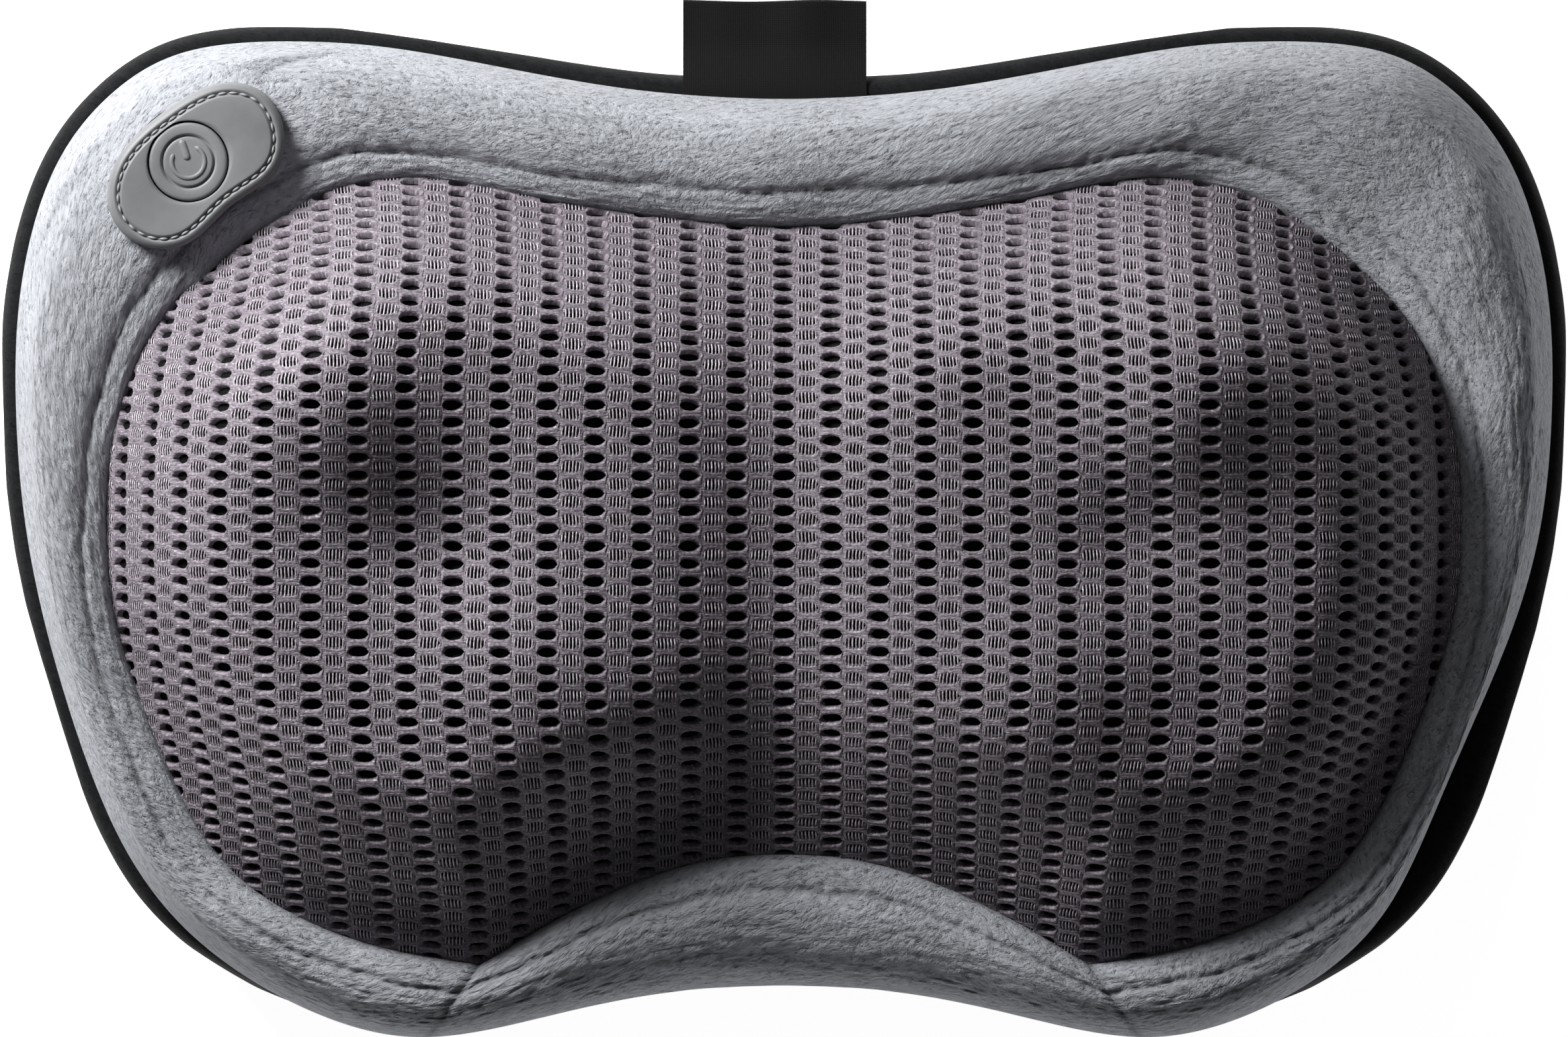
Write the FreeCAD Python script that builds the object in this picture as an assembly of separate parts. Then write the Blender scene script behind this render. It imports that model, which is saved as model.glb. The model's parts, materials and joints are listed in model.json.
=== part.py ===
# Pillow-shaped shiatsu neck massager, in millimetres. It lies on its flat back: +X to its right,
# +Y to its top edge with the label tab, +Z out of the massage face. Origin: middle of the back.
import FreeCAD, Part
import math
import os

V = FreeCAD.Vector

# ---- driving dimensions -------------------------------------------------------------------
# Half of the pillow's outline, from the top middle round to the bottom middle: outer edge (x, y),
# then the point of the mesh panel's edge that lies inside it.
STATIONS = [
    (0, 95.5, 0, 62.6),
    (38, 98, 27, 64.6),
    (77, 104.6, 55, 69),
    (104, 107, 79, 73),
    (130, 104.8, 103, 68),
    (149, 94, 124, 53.5),
    (162, 76, 138, 36),
    (169, 50, 144.8, 15),
    (170, 22, 145.8, -3),
    (167, -8, 144, -22),
    (158.5, -42, 136, -46),
    (145, -75, 124, -70),
    (126, -95.8, 108, -84),
    (102, -108, 88, -92),
    (77, -112.4, 65.5, -96),
    (51, -107.8, 46, -84.5),
    (26, -102.8, 23, -75),
    (0, -101.2, 0, -72.1),
]
CORNER = 14             # station of the panel's sharp lower corner
FIRST_LOW = 11          # past this station the outline turns along the bottom edge

SEAM_Z = 47.0           # seam between the black rear cover and the grey plush
WELT = 3.8              # width of the black rim that shows outside the plush
CLEAR = 0.3             # air between soft pieces
SKIN = 3.4              # cover fabric with its wadding
CREST_Z = 80.5          # top of the plush roll
EDGE_Z = 74.5           # mesh panel's edge
PANEL_TOP = 107.5       # mesh panel over the heads
PANEL_MIDDLE = (0, -8)
MESH_T = 1.9
LINER_T = 1.3

HEAD_X = 74.5           # a head's axis
AXLE_Y = -5.0           # all gear axles lie on this line
HEAD_R = 37.0           # from a head's axis to its two nodes
HEAD_ANGLE = 60.0       # rest angle of the right head's arm
NODE_R = 16.5
NODE_Z = 84.0
ARM_Z = (50.0, 56.0)

MODULE = 1.5            # pinion and output gear
PINION_TEETH = 16
OUTPUT_TEETH = 54
OUTPUT_Z = (14.5, 21.5)
PINION_Z = (14.0, 22.4)
REDUCTION_X = HEAD_X - MODULE * (PINION_TEETH + OUTPUT_TEETH) / 2
SPUR_ANGLE = math.radians(25)

WORM_MODULE = 1.0       # axial module of the worm, transverse module of its wheels
WORM_STARTS = 2
WHEEL_TEETH = 34
WORM_R = REDUCTION_X - WORM_MODULE * WHEEL_TEETH / 2
WORM_Z = 29.0           # height of the motor's axis
WHEEL_Z = (25.0, 33.0)
WORM_Y = (-16.0, 6.0)
WORM_ANGLE = math.radians(20)
FLANK_GAP = 0.12        # taken off each tooth flank
ADDENDUM = 0.9          # in modules
DEDENDUM = 1.2

MOTOR_R = 17.0
MOTOR_Y = (16.0, 58.0)
SHAFT_R = 1.6
AXLE_R = 2.0
SPINDLE_R = 6.0
HUB_R = 13.0
ARM_SCREWS_R = 9.6      # circle of the screws that hold an arm on its hub
FOOT_SCREWS_R = 9.0     # circle of the screws in a spindle's foot
LAMP_Z = 62.3           # lamp board, on the end of the spindle
LENS_R = 10.5
LENS_Z = 66.0           # middle of the lens's dome
RUN = 0.08              # radial running clearance

FLOOR_Z = (8.0, 10.5)   # chassis floor
PLATE_Z = (46.5, 49.0)  # chassis front plate
DISC_R = 48.0           # chassis round each output gear
WALL = 2.5
BAY = (40.0, -58.0, 72.0)   # chassis middle: half width, lowest y, highest y
LUG_R = 5.2
LUG_AT = 52.4           # lugs beside the discs, from the head axis
SCREW_R = 1.4

PAD_CENTRE = (-126.5, 75.5)
PAD_TILT = 37.0
BUTTON_AT = (-128.7, 77.1)
BUTTON_R = 8.5
BUTTON_GAP = 0.3
PAD_Z = (80.8, 84.2)

INLET_Z = 24.0
BARREL_R = 2.75         # plug barrel of a 5.5 x 2.1 mm power plug
PIN_R = 1.05

TAB_X = (-21.9, 17.9)   # folded label tab in the top seam
TAB_TOP = 112.4
TAB_Z = (45.4, 46.8)

ZIP_Y = -62.0
ZIP_HALF = 105.0
ZIP_Z = 1.7             # middle of the zip's chain
ZIP_PITCH = 2.5
SLIDER_X = ZIP_HALF - 8

SWITCH_TOP = 74.0
KEY_BOARD_Z = (69.4, 70.8)
BOARD_Z = (14.5, 16.1)
BOARD_SCREWS = [(-28, -50), (28, -50), (-28, -31), (28, -31)]
INLET_Y = (-96.5, -80.0)    # mouth and back of the power inlet

# Routes of the leads that the pillow holds, chosen by hand.
LEAD_R = 1.3            # the control lead
MOTOR_LEAD_R = 0.9
INLET_LEAD_R = 1.2
CHANNEL = 0.5           # room for a lead where it passes through the chassis
CONTROL_ROUTE = [
    (-124, 71.5, 65.6), (-116, 63.5, 64.6), (-104, 56, 60), (-89, 51.5, 51), (-72, 49, 43.5),
    (-55, 45.5, 41), (-41, 37, 40), (-33, 24, 40.5), (-31, 8, 40), (-30.5, -8, 40.5),
    (-28, -21, 38), (-22.5, -30.5, 32), (-20.3, -33.5, 21.5),
]
MOTOR_TABS = (7.0, 11.0)
MOTOR_ROUTE = [
    (9, 64.9, WORM_Z), (12, 67, 34), (20, 63.5, 39), (27, 53, 41), (31, 38, 41), (31.5, 22, 40.5),
    (31, 6, 41), (31.5, -10, 40.5), (31, -24, 39), (28, -34, 34.5), (22.5, -42, 31), (21, -45.4, 21.4),
]
INLET_ROUTE = [
    (2.5, -76.7, INLET_Z), (3, -70, 24.2), (5, -62, 25.5), (8, -54, 27), (12, -46, 29.5),
    (14.5, -38, 29), (14.2, -33.6, 21.9),
]


# ---- small helpers ------------------------------------------------------------------------
def cylinder(radius, z0, z1, x=0.0, y=0.0):
    return Part.makeCylinder(radius, z1 - z0, V(x, y, z0))


def tube(outer, inner, z0, z1, x=0.0, y=0.0):
    return cylinder(outer, z0, z1, x, y).cut(cylinder(inner, z0 - 1, z1 + 1, x, y))


def y_cylinder(radius, y0, y1, x=0.0, z=0.0):
    return Part.makeCylinder(radius, y1 - y0, V(x, y0, z), V(0, 1, 0))


def y_tube(outer, inner, y0, y1, x=0.0, z=0.0):
    return y_cylinder(outer, y0, y1, x, z).cut(y_cylinder(inner, y0 - 1, y1 + 1, x, z))


def box(x0, x1, y0, y1, z0, z1):
    return Part.makeBox(x1 - x0, y1 - y0, z1 - z0, V(x0, y0, z0))


def fused(shapes):
    first, *rest = shapes
    return first.multiFuse(rest).removeSplitter() if rest else first


def polar(radius, degrees, x=0.0, y=0.0):
    turn = math.radians(degrees)
    return x + radius * math.cos(turn), y + radius * math.sin(turn)


def rounded_slab(x0, x1, y0, y1, z0, z1, radius):
    """A slab whose four upright edges are rounded."""
    slab = box(x0, x1, y0, y1, z0, z1)
    upright = [e for e in slab.Edges if abs(e.Vertexes[0].Z - e.Vertexes[1].Z) > 1e-6]
    return slab.makeFillet(radius, upright)


def lead(points, radius):
    """A tube along straight runs joined by tangent arcs as large as the runs allow."""
    corners = [V(*p) for p in points]
    edges = []
    last = corners[0]
    for before, corner, after in zip(corners, corners[1:], corners[2:]):
        back = before - corner
        ahead = after - corner
        turn = math.pi - back.getAngle(ahead)
        reach = 0.45 * min(back.Length, ahead.Length)
        start = corner + back.normalize() * reach
        end = corner + ahead.normalize() * reach
        arc_r = reach / math.tan(turn / 2)
        inward = (back + ahead).normalize()
        middle = corner + inward * (arc_r / math.cos(turn / 2) - arc_r)
        edges.append(Part.LineSegment(last, start).toShape())
        edges.append(Part.Arc(start, middle, end).toShape())
        print("lead bend radius", round(arc_r, 1))
        last = end
    edges.append(Part.LineSegment(last, corners[-1]).toShape())
    path = Part.Wire(edges)
    ring = Part.Wire(Part.makeCircle(radius, corners[0], corners[1] - corners[0]))
    solid = path.makePipeShell([ring], True, True)
    print("lead volume over section x length", round(solid.Volume / (math.pi * radius**2 * path.Length), 3))
    return solid


def save(name, shape):
    shape.exportStep(f"parts/{name}.step")
    solids = len(shape.Solids)
    print(f"{name}: {solids} solid(s), {shape.Volume:.0f} mm3, valid {shape.isValid()}")


# ---- outlines and soft covers -------------------------------------------------------------
def along_bottom(index):
    """0 round the top and sides, rising to 1 along the bottom edge."""
    return min(1.0, max(0.0, (index - FIRST_LOW) / 3))


def half_points(share, inset):
    """The half outline a share of the way from the outer edge to the panel, moved in by inset."""
    flat = [((1 - share) * a + share * c, (1 - share) * b + share * d) for a, b, c, d in STATIONS]
    before_first = (-flat[1][0], flat[1][1])
    after_last = (-flat[-2][0], flat[-2][1])
    around = [before_first] + flat + [after_last]
    moved = []
    for index, (x, y) in enumerate(flat):
        dx = around[index + 2][0] - around[index][0]
        dy = around[index + 2][1] - around[index][1]
        length = math.hypot(dx, dy)
        step = inset(index) if callable(inset) else inset
        moved.append((x + step * dy / length, y - step * dx / length))
    return moved


def wire_at(points, z):
    """A closed outline from its half: one curve over the top and one along the lower arch."""
    right = [V(x, y, z) for x, y in points]
    left = [V(-x, y, z) for x, y in points]
    upper = Part.BSplineCurve()
    upper.interpolate(left[CORNER:0:-1] + right[: CORNER + 1])
    lower = Part.BSplineCurve()
    lower.interpolate(right[CORNER:] + left[CORNER:-1][::-1])
    return Part.Wire([upper.toShape(), lower.toShape()])


def ring_body(levels):
    """A closed body through outlines (share, inset, z)."""
    return Part.makeLoft([wire_at(half_points(s, i), z) for s, i, z in levels], True, True)


def panel_body(levels, inset):
    """A closed body through the panel's outline shrunk towards its middle: levels (size, z)."""
    edge = half_points(1.0, inset)
    cx, cy = PANEL_MIDDLE
    wires = []
    for size, z in levels:
        wires.append(wire_at([(cx + size * (x - cx), cy + size * (y - cy)) for x, y in edge], z))
    return Part.makeLoft(wires, True, True)


def black_edge(extra):
    return lambda index: 3.0 * along_bottom(index) + extra


def grey_edge(extra):
    return lambda index: WELT * (1 - along_bottom(index)) + extra


def rear_cover_body():
    outer = ring_body([
        (0, black_edge(15), 0), (0, black_edge(9), 2), (0, black_edge(4), 8),
        (0, black_edge(1), 20), (0, black_edge(0), 34), (0, black_edge(0.6), SEAM_Z),
    ])
    inner = ring_body([
        (0, black_edge(17), SKIN), (0, black_edge(9), 8), (0, black_edge(5), 20),
        (0, black_edge(4.2), 34), (0, black_edge(7.5), SEAM_Z - 3), (0, black_edge(7.5), SEAM_Z + 1),
    ])
    return outer.cut(inner)


def plush_body():
    outer = ring_body([
        (0, grey_edge(0), SEAM_Z + CLEAR), (0.01, grey_edge(0), 58), (0.06, grey_edge(0), 68),
        (0.15, grey_edge(0), 75), (0.34, 0, 79.6), (0.5, 0, CREST_Z),
    ])
    hollow = ring_body([
        (0, grey_edge(4), SEAM_Z - 1), (0.02, grey_edge(4), 57), (0.08, grey_edge(4), 66),
        (0.19, grey_edge(4), 71.5), (0.4, 2, 76), (0.5, 0, 77),
    ])
    well = ring_body([
        (1, 0, 60), (1, 0, 72.5), (0.86, 0, 77.4), (0.7, 0, 79.8), (0.6, 0, CREST_Z + 1),
    ])
    lining = ring_body([
        (0.9, 0, 68.5), (0.9, 0, 71.5), (0.84, 0, 73.4), (0.7, 0, 76), (0.6, 0, 78),
    ])
    return outer.cut(well).cut(hollow.cut(lining))


def mitre_blocks(low):
    """Two solids that meet at the mitre seams: below the mesh corners, and all the rest."""
    x_in, y_in = STATIONS[CORNER][2:]
    x_out, y_out = STATIONS[CORNER][:2]
    lean = (x_out - x_in) / (y_in - y_out)
    top = y_in + 22
    foot = y_out - 10
    x_top = x_in - lean * (top - y_in)
    x_foot = x_out + lean * (y_out - foot)
    gap = 0 if low else CLEAR
    corners = [(-x_foot - gap, foot), (x_foot + gap, foot), (x_top + gap, top), (-x_top - gap, top)]
    outline = [V(x, y, 40) for x, y in corners]
    return Part.Face(Part.makePolygon(outline + outline[:1])).extrude(V(0, 0, 50))


PANEL_LEVELS = [(1, 0), (0.95, 0.34), (0.9, 0.64), (0.85, 0.84), (0.8, 0.945), (0.74, 0.985), (0.6, 1)]


def panel_dome(drop, inset):
    rise = PANEL_TOP - EDGE_Z
    return panel_body([(size, EDGE_Z + share * rise - drop) for size, share in PANEL_LEVELS], inset)


def panel_shell(drop, inset, thickness):
    """A thin dome: a body less the same body lowered and moved in, cut level at the edge."""
    shell = panel_dome(drop, inset).cut(panel_dome(drop + thickness, inset + thickness))
    return shell.common(box(-170, 170, -120, 100, EDGE_Z, PANEL_TOP + 1))


def foam_body():
    """Foam ring that fills the rim between the covers and the mechanism."""
    outer = ring_body([
        (0, black_edge(11), 9), (0, black_edge(9.5), 43), (0.2, grey_edge(7.5), 60), (0.36, 5, 69),
    ])
    inner = ring_body([(0.55, 0, 8), (0.55, 0, 73)])
    return outer.cut(inner)


# ---- gears --------------------------------------------------------------------------------
def involute_gear_wire(teeth, module, pressure, z, turn=0.0):
    """A spur outline: involute flanks between a root and a tip circle, thinned for backlash."""
    pitch_r = module * teeth / 2
    base_r = pitch_r * math.cos(pressure)
    tip_r = pitch_r + ADDENDUM * module
    root_r = pitch_r - DEDENDUM * module
    low_r = max(base_r, root_r)
    half = math.pi / (2 * teeth) - FLANK_GAP / pitch_r + math.tan(pressure) - pressure

    def flank_angle(r):
        cosine = min(1.0, base_r / r)
        along = math.acos(cosine)
        return half - (math.tan(along) - along)

    def at(r, angle):
        return V(r * math.cos(angle), r * math.sin(angle), z)

    radii = [low_r + (tip_r - low_r) * n / 4 for n in range(5)]
    edges = []
    for tooth in range(teeth):
        middle = turn + 2 * math.pi * tooth / teeth
        after = middle + 2 * math.pi / teeth
        rising = [at(r, middle - flank_angle(r)) for r in radii]
        falling = [at(r, middle + flank_angle(r)) for r in reversed(radii)]
        foot = half if root_r < base_r else flank_angle(root_r)
        foot_in = at(root_r, middle - foot)
        foot_out = at(root_r, middle + foot)
        if root_r < base_r:
            edges.append(Part.LineSegment(foot_in, rising[0]).toShape())
        for points in (rising, falling):
            curve = Part.BSplineCurve()
            curve.interpolate(points)
            if points is falling:
                edges.append(Part.Arc(rising[-1], at(tip_r, middle), falling[0]).toShape())
            edges.append(curve.toShape())
        if root_r < base_r:
            edges.append(Part.LineSegment(falling[-1], foot_out).toShape())
        next_foot = at(root_r, after - foot)
        edges.append(Part.Arc(foot_out, at(root_r, (middle + after) / 2), next_foot).toShape())
    return Part.Wire(edges)


def spur_gear(teeth, module, z0, z1, turn=0.0):
    wire = involute_gear_wire(teeth, module, SPUR_ANGLE, z0, turn)
    return Part.Face(wire).extrude(V(0, 0, z1 - z0))


def helical_wheel():
    """The worm's wheel: its section turns with height to follow the right-hand worm thread."""
    lead_slope = WORM_STARTS * WORM_MODULE / 2 / WORM_R
    wheel_r = WORM_MODULE * WHEEL_TEETH / 2
    wires = []
    for z in (WHEEL_Z[0], WORM_Z, WHEEL_Z[1]):
        turn = (z - WORM_Z) * lead_slope / wheel_r
        wires.append(involute_gear_wire(WHEEL_TEETH, WORM_MODULE, WORM_ANGLE, z, turn))
    return Part.makeLoft(wires, True, True)


def compound_gear(side):
    """Worm wheel and pinion moulded as one, running on a fixed steel axle."""
    wheel = helical_wheel()
    pinion = spur_gear(PINION_TEETH, MODULE, *PINION_Z, turn=math.pi / PINION_TEETH)
    collar = cylinder(8.5, PINION_Z[1] - 0.5, WHEEL_Z[0] + 0.5)
    hub = cylinder(4.5, WHEEL_Z[1] - 0.5, WHEEL_Z[1] + 6)
    gear = fused([pinion, collar, wheel, hub])
    web = tube(14, 7, WHEEL_Z[1] - 2, WHEEL_Z[1] + 1)
    gear = gear.cut(web).cut(cylinder(AXLE_R + RUN, 0, 60))
    gear.translate(V(side * REDUCTION_X, AXLE_Y, 0))
    return gear


def output_gear(side):
    """Large gear with spokes' windows and the tall hub that carries the head's arm."""
    rim = spur_gear(OUTPUT_TEETH, MODULE, *OUTPUT_Z)
    rim = rim.cut(tube(35, HUB_R + 3, OUTPUT_Z[1] - 2, OUTPUT_Z[1] + 1))
    for n in range(6):
        x, y = polar(25.5, 60 * n + 30)
        rim = rim.cut(cylinder(6.5, 0, 60, x, y))
    gear = fused([rim, cylinder(HUB_R, OUTPUT_Z[0] - 0.8, ARM_Z[0])])
    gear = gear.cut(cylinder(SPINDLE_R + RUN, 0, 60))
    for n in range(3):
        x, y = polar(ARM_SCREWS_R, 120 * n + 90)
        gear = gear.cut(cylinder(1.25, ARM_Z[0] - 10, 60, x, y))
    gear.translate(V(side * HEAD_X, AXLE_Y, 0))
    return gear


def worm_body():
    """Core with a two-start right-hand thread of trapezoid section about the motor's axis."""
    y0, y1 = WORM_Y
    core_r = WORM_R - DEDENDUM * WORM_MODULE
    tip_r = WORM_R + 0.8 * WORM_MODULE
    pitch = math.pi * WORM_MODULE * WORM_STARTS
    half_pitch = math.pi * WORM_MODULE / 4 - FLANK_GAP
    root_half = half_pitch + (WORM_R - core_r + 0.3) * math.tan(WORM_ANGLE)
    tip_half = half_pitch - (tip_r - WORM_R) * math.tan(WORM_ANGLE)
    turns = math.ceil((y1 - y0) / pitch) + 2
    bottom = -turns * pitch / 2
    core = cylinder(core_r, y0 - AXLE_Y, y1 - AXLE_Y)
    keep = cylinder(tip_r + 1, y0 - AXLE_Y + 1, y1 - AXLE_Y - 1)
    threads = []
    for start in range(WORM_STARTS):
        helix = Part.makeHelix(pitch, turns * pitch, core_r)
        helix.translate(V(0, 0, bottom))
        section = [
            V(core_r - 0.3, 0, bottom - root_half), V(tip_r, 0, bottom - tip_half),
            V(tip_r, 0, bottom + tip_half), V(core_r - 0.3, 0, bottom + root_half),
        ]
        profile = Part.makePolygon(section + section[:1])
        thread = Part.Wire(helix).makePipeShell([profile], True, True)
        thread.rotate(V(0, 0, 0), V(0, 0, 1), 360 * start / WORM_STARTS)
        threads.append(thread.common(keep))
    worm = core.multiFuse(threads)
    worm = worm.cut(cylinder(SHAFT_R + 0.05, -40, 40))
    # built about +Z with the helix starting on +X; stood along +Y with that side turned to +Z
    worm.rotate(V(0, 0, 0), V(0, 0, 1), -90)
    worm.rotate(V(0, 0, 0), V(1, 0, 0), -90)
    worm.translate(V(0, AXLE_Y, WORM_Z))
    return worm


# ---- chassis ------------------------------------------------------------------------------
def lug_places():
    """The eight screws that close the chassis."""
    half, low, high = BAY
    places = []
    for side in (-1, 1):
        places.append((side * (half - 5), high - 6))
        places.append((side * (half - 5), low + 6))
        for degrees in (35, -35):
            x, y = polar(LUG_AT, degrees)
            places.append((side * (HEAD_X + x), AXLE_Y + y))
    return places


def chassis_plan(z0, z1, shrink=0.0):
    half, low, high = BAY
    bodies = [rounded_slab(-half + shrink, half - shrink, low + shrink, high - shrink, z0, z1, 6)]
    for side in (-1, 1):
        bodies.append(cylinder(DISC_R - shrink, z0, z1, side * HEAD_X, AXLE_Y))
    return fused(bodies)


def bosses(radius, z0, z1):
    return [cylinder(radius, z0, z1, x, y) for x, y in lug_places()]


def chassis_rear():
    shell = fused([chassis_plan(FLOOR_Z[0], PLATE_Z[0])] + bosses(LUG_R, 30, PLATE_Z[0]))
    shell = shell.cut(chassis_plan(FLOOR_Z[1], PLATE_Z[0] + 1, WALL))
    shell = fused([shell] + bosses(LUG_R, 30, PLATE_Z[0]))
    ribs = []
    for y in (26, 52):
        ribs.append(box(-14, 14, y - 1.5, y + 1.5, FLOOR_Z[1] - 0.5, WORM_Z - 4))
    bulkhead = box(-18, 18, 13.6, MOTOR_Y[0], FLOOR_Z[1] - 0.5, WORM_Z + 12)
    ribs.append(bulkhead)
    ribs.append(box(-5.5, 5.5, -23, -18.5, FLOOR_Z[1] - 0.5, WORM_Z + 4.5))
    for side in (-1, 1):
        ribs.append(cylinder(4.5, FLOOR_Z[1] - 0.5, PINION_Z[0] - 0.4, side * REDUCTION_X, AXLE_Y))
    for x, y in BOARD_SCREWS:
        ribs.append(cylinder(3.2, FLOOR_Z[1] - 0.5, BOARD_Z[0], x, y))
    shell = fused([shell] + ribs)
    shell = shell.cut(y_cylinder(MOTOR_R + RUN, MOTOR_Y[0], MOTOR_Y[1] + 8, 0, WORM_Z))
    shell = shell.cut(y_cylinder(4.2, 10, MOTOR_Y[0] + 1, 0, WORM_Z))
    for side in (-1, 1):
        shell = shell.cut(y_cylinder(1.6, 10, MOTOR_Y[0] + 1, side * 8, WORM_Z))
    shell = shell.cut(y_cylinder(3.05, -24, -18, 0, WORM_Z))
    for x, y in lug_places():
        shell = shell.cut(cylinder(SCREW_R - 0.1, PLATE_Z[0] - 12, PLATE_Z[0] + 1, x, y))
    for side in (-1, 1):
        shell = shell.cut(cylinder(AXLE_R + 0.02, FLOOR_Z[1], 30, side * REDUCTION_X, AXLE_Y))
        shell = shell.cut(cylinder(3.6, 0, 30, side * HEAD_X, AXLE_Y))
        for n in range(3):
            x, y = polar(FOOT_SCREWS_R, 120 * n + 90, side * HEAD_X, AXLE_Y)
            shell = shell.cut(cylinder(1.2, 0, 30, x, y))
    for x, y in BOARD_SCREWS:
        shell = shell.cut(cylinder(0.95, FLOOR_Z[1], 30, x, y))
    return shell


def chassis_front():
    plate = fused([chassis_plan(*PLATE_Z)] + bosses(LUG_R, *PLATE_Z))
    for side in (-1, 1):
        plate = plate.cut(cylinder(HUB_R + 2.6, 40, 60, side * HEAD_X, AXLE_Y))
        boss = cylinder(4.5, WHEEL_Z[1] + 6.4, PLATE_Z[0] + 0.5, side * REDUCTION_X, AXLE_Y)
        plate = fused([plate, boss])
        plate = plate.cut(cylinder(AXLE_R + 0.02, 30, PLATE_Z[1] - 1, side * REDUCTION_X, AXLE_Y))
    for x, y in lug_places():
        plate = plate.cut(cylinder(SCREW_R + 0.3, 40, 60, x, y))
    for side in (-1, 1):
        for y in (-45, -35, 35, 45):
            plate = plate.cut(rounded_slab(side * 14 - 8, side * 14 + 8, y - 1.5, y + 1.5, 40, 60, 1.2))
    return plate


def pan_screw(x, y, head_z, length, radius=SCREW_R, head_r=2.7, head_h=1.7, up=True):
    """A pan-head screw whose head sits on head_z; up=False puts the head below and the shank above."""
    way = 1 if up else -1
    head = Part.makeCylinder(head_r, head_h, V(x, y, head_z), V(0, 0, way))
    shank = Part.makeCylinder(radius - 0.15, length, V(x, y, head_z), V(0, 0, -way))
    slot = box(x - head_r, x + head_r, y - 0.3, y + 0.3, -0.7, 0.7)
    slot.translate(V(0, 0, head_z + way * head_h))
    return head.fuse(shank).cut(slot)


# ---- heads --------------------------------------------------------------------------------
def node_places(side):
    """The two nodes of a head, the left head mirroring the right."""
    places = []
    for degrees in (HEAD_ANGLE, HEAD_ANGLE + 180):
        x, y = polar(HEAD_R, degrees)
        places.append((side * (HEAD_X + x), AXLE_Y + y))
    return places


def head_arm(side):
    """Arm plate with two posts, a hub disc and a stiffening rib on each half."""
    z0, z1 = ARM_Z
    bar = rounded_slab(-HEAD_R, HEAD_R, -9.5, 9.5, z0, z1, 5)
    rib = box(-HEAD_R, HEAD_R, -2, 2, z1 - 0.5, z1 + 5)
    arm = fused([bar, rib, cylinder(18, z0, z1)])
    arm = arm.cut(cylinder(12.5, z1, z1 + 10))
    arm.rotate(V(0, 0, 0), V(0, 0, 1), HEAD_ANGLE if side > 0 else 180 - HEAD_ANGLE)
    arm.translate(V(side * HEAD_X, AXLE_Y, 0))
    posts = []
    for x, y in node_places(side):
        posts.append(cylinder(10, z0, z1, x, y))
        posts.append(Part.makeCone(9.5, 7.5, NODE_Z - 11 - z1 + 0.5, V(x, y, z1 - 0.5)))
    arm = fused([arm] + posts)
    arm = arm.cut(cylinder(SPINDLE_R + RUN, 40, 70, side * HEAD_X, AXLE_Y))
    for n in range(3):
        x, y = polar(ARM_SCREWS_R, 120 * n + 90, side * HEAD_X, AXLE_Y)
        arm = arm.cut(cylinder(1.7, 40, 70, x, y))
    for x, y in node_places(side):
        arm = arm.cut(cylinder(4.2, z0 - 1, z0 + 3.4, x, y))
        arm = arm.cut(cylinder(2.2, z0, 90, x, y))
    return arm


def node_cores(side):
    cores = []
    for x, y in node_places(side):
        ball = Part.makeSphere(NODE_R - 2.2, V(x, y, NODE_Z))
        ball = ball.common(box(x - 20, x + 20, y - 20, y + 20, NODE_Z - 11, NODE_Z + 20))
        ball = ball.fuse(tube(NODE_R - 0.4, 9, NODE_Z - 9.5, NODE_Z - 7.6, x, y))
        cores.append(ball.cut(cylinder(1.8, NODE_Z - 12, NODE_Z - 1, x, y)))
    return Part.makeCompound(cores)


def node_caps(side):
    caps = []
    for x, y in node_places(side):
        centre = V(x, y, NODE_Z)
        skin = Part.makeSphere(NODE_R, centre).cut(Part.makeSphere(NODE_R - 2, centre))
        caps.append(skin.common(box(x - 20, x + 20, y - 20, y + 20, NODE_Z - 7.4, NODE_Z + 20)))
    return Part.makeCompound(caps)


def head_screws(side):
    z0 = ARM_Z[0]
    screws = []
    for x, y in node_places(side):
        screws.append(pan_screw(x, y, z0 + 3.4, NODE_Z - z0 - 6, 1.9, 3.8, 2.4, up=False))
    for n in range(3):
        x, y = polar(ARM_SCREWS_R, 120 * n + 90, side * HEAD_X, AXLE_Y)
        screws.append(pan_screw(x, y, ARM_Z[1], 14, 1.35, 2.4, 1.6))
    return Part.makeCompound(screws)


def spindle(side):
    """Fixed hollow post that the output gear turns on; its foot is screwed to the chassis."""
    x = side * HEAD_X
    post = fused([
        cylinder(12, FLOOR_Z[1], FLOOR_Z[1] + 1.6, x, AXLE_Y),
        cylinder(SPINDLE_R, FLOOR_Z[1], 62, x, AXLE_Y),
    ])
    post = post.cut(tube(SPINDLE_R + 1, SPINDLE_R - 0.8, 58.4, 59.8, x, AXLE_Y))
    post = post.cut(cylinder(3.6, 0, 70, x, AXLE_Y))
    for n in range(3):
        sx, sy = polar(FOOT_SCREWS_R, 120 * n + 90, x, AXLE_Y)
        post = post.cut(cylinder(1.5, 0, 20, sx, sy))
    return post


def spindle_clip(side):
    x = side * HEAD_X
    clip = tube(8.8, SPINDLE_R - 0.75, 58.6, 59.6, x, AXLE_Y)
    return clip.cut(box(x - 2.6, x + 2.6, AXLE_Y - 10, AXLE_Y, 58, 60))


def lamp_board(side):
    x = side * HEAD_X
    board = cylinder(8.4, LAMP_Z, 63.6, x, AXLE_Y)
    lamps = []
    for n in range(4):
        lx, ly = polar(4.6, 90 * n + 45, x, AXLE_Y)
        lamps.append(cylinder(1.5, 63.4, 65.6, lx, ly))
        lamps.append(Part.makeSphere(1.5, V(lx, ly, 65.6)))
    return fused([board] + lamps)


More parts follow.
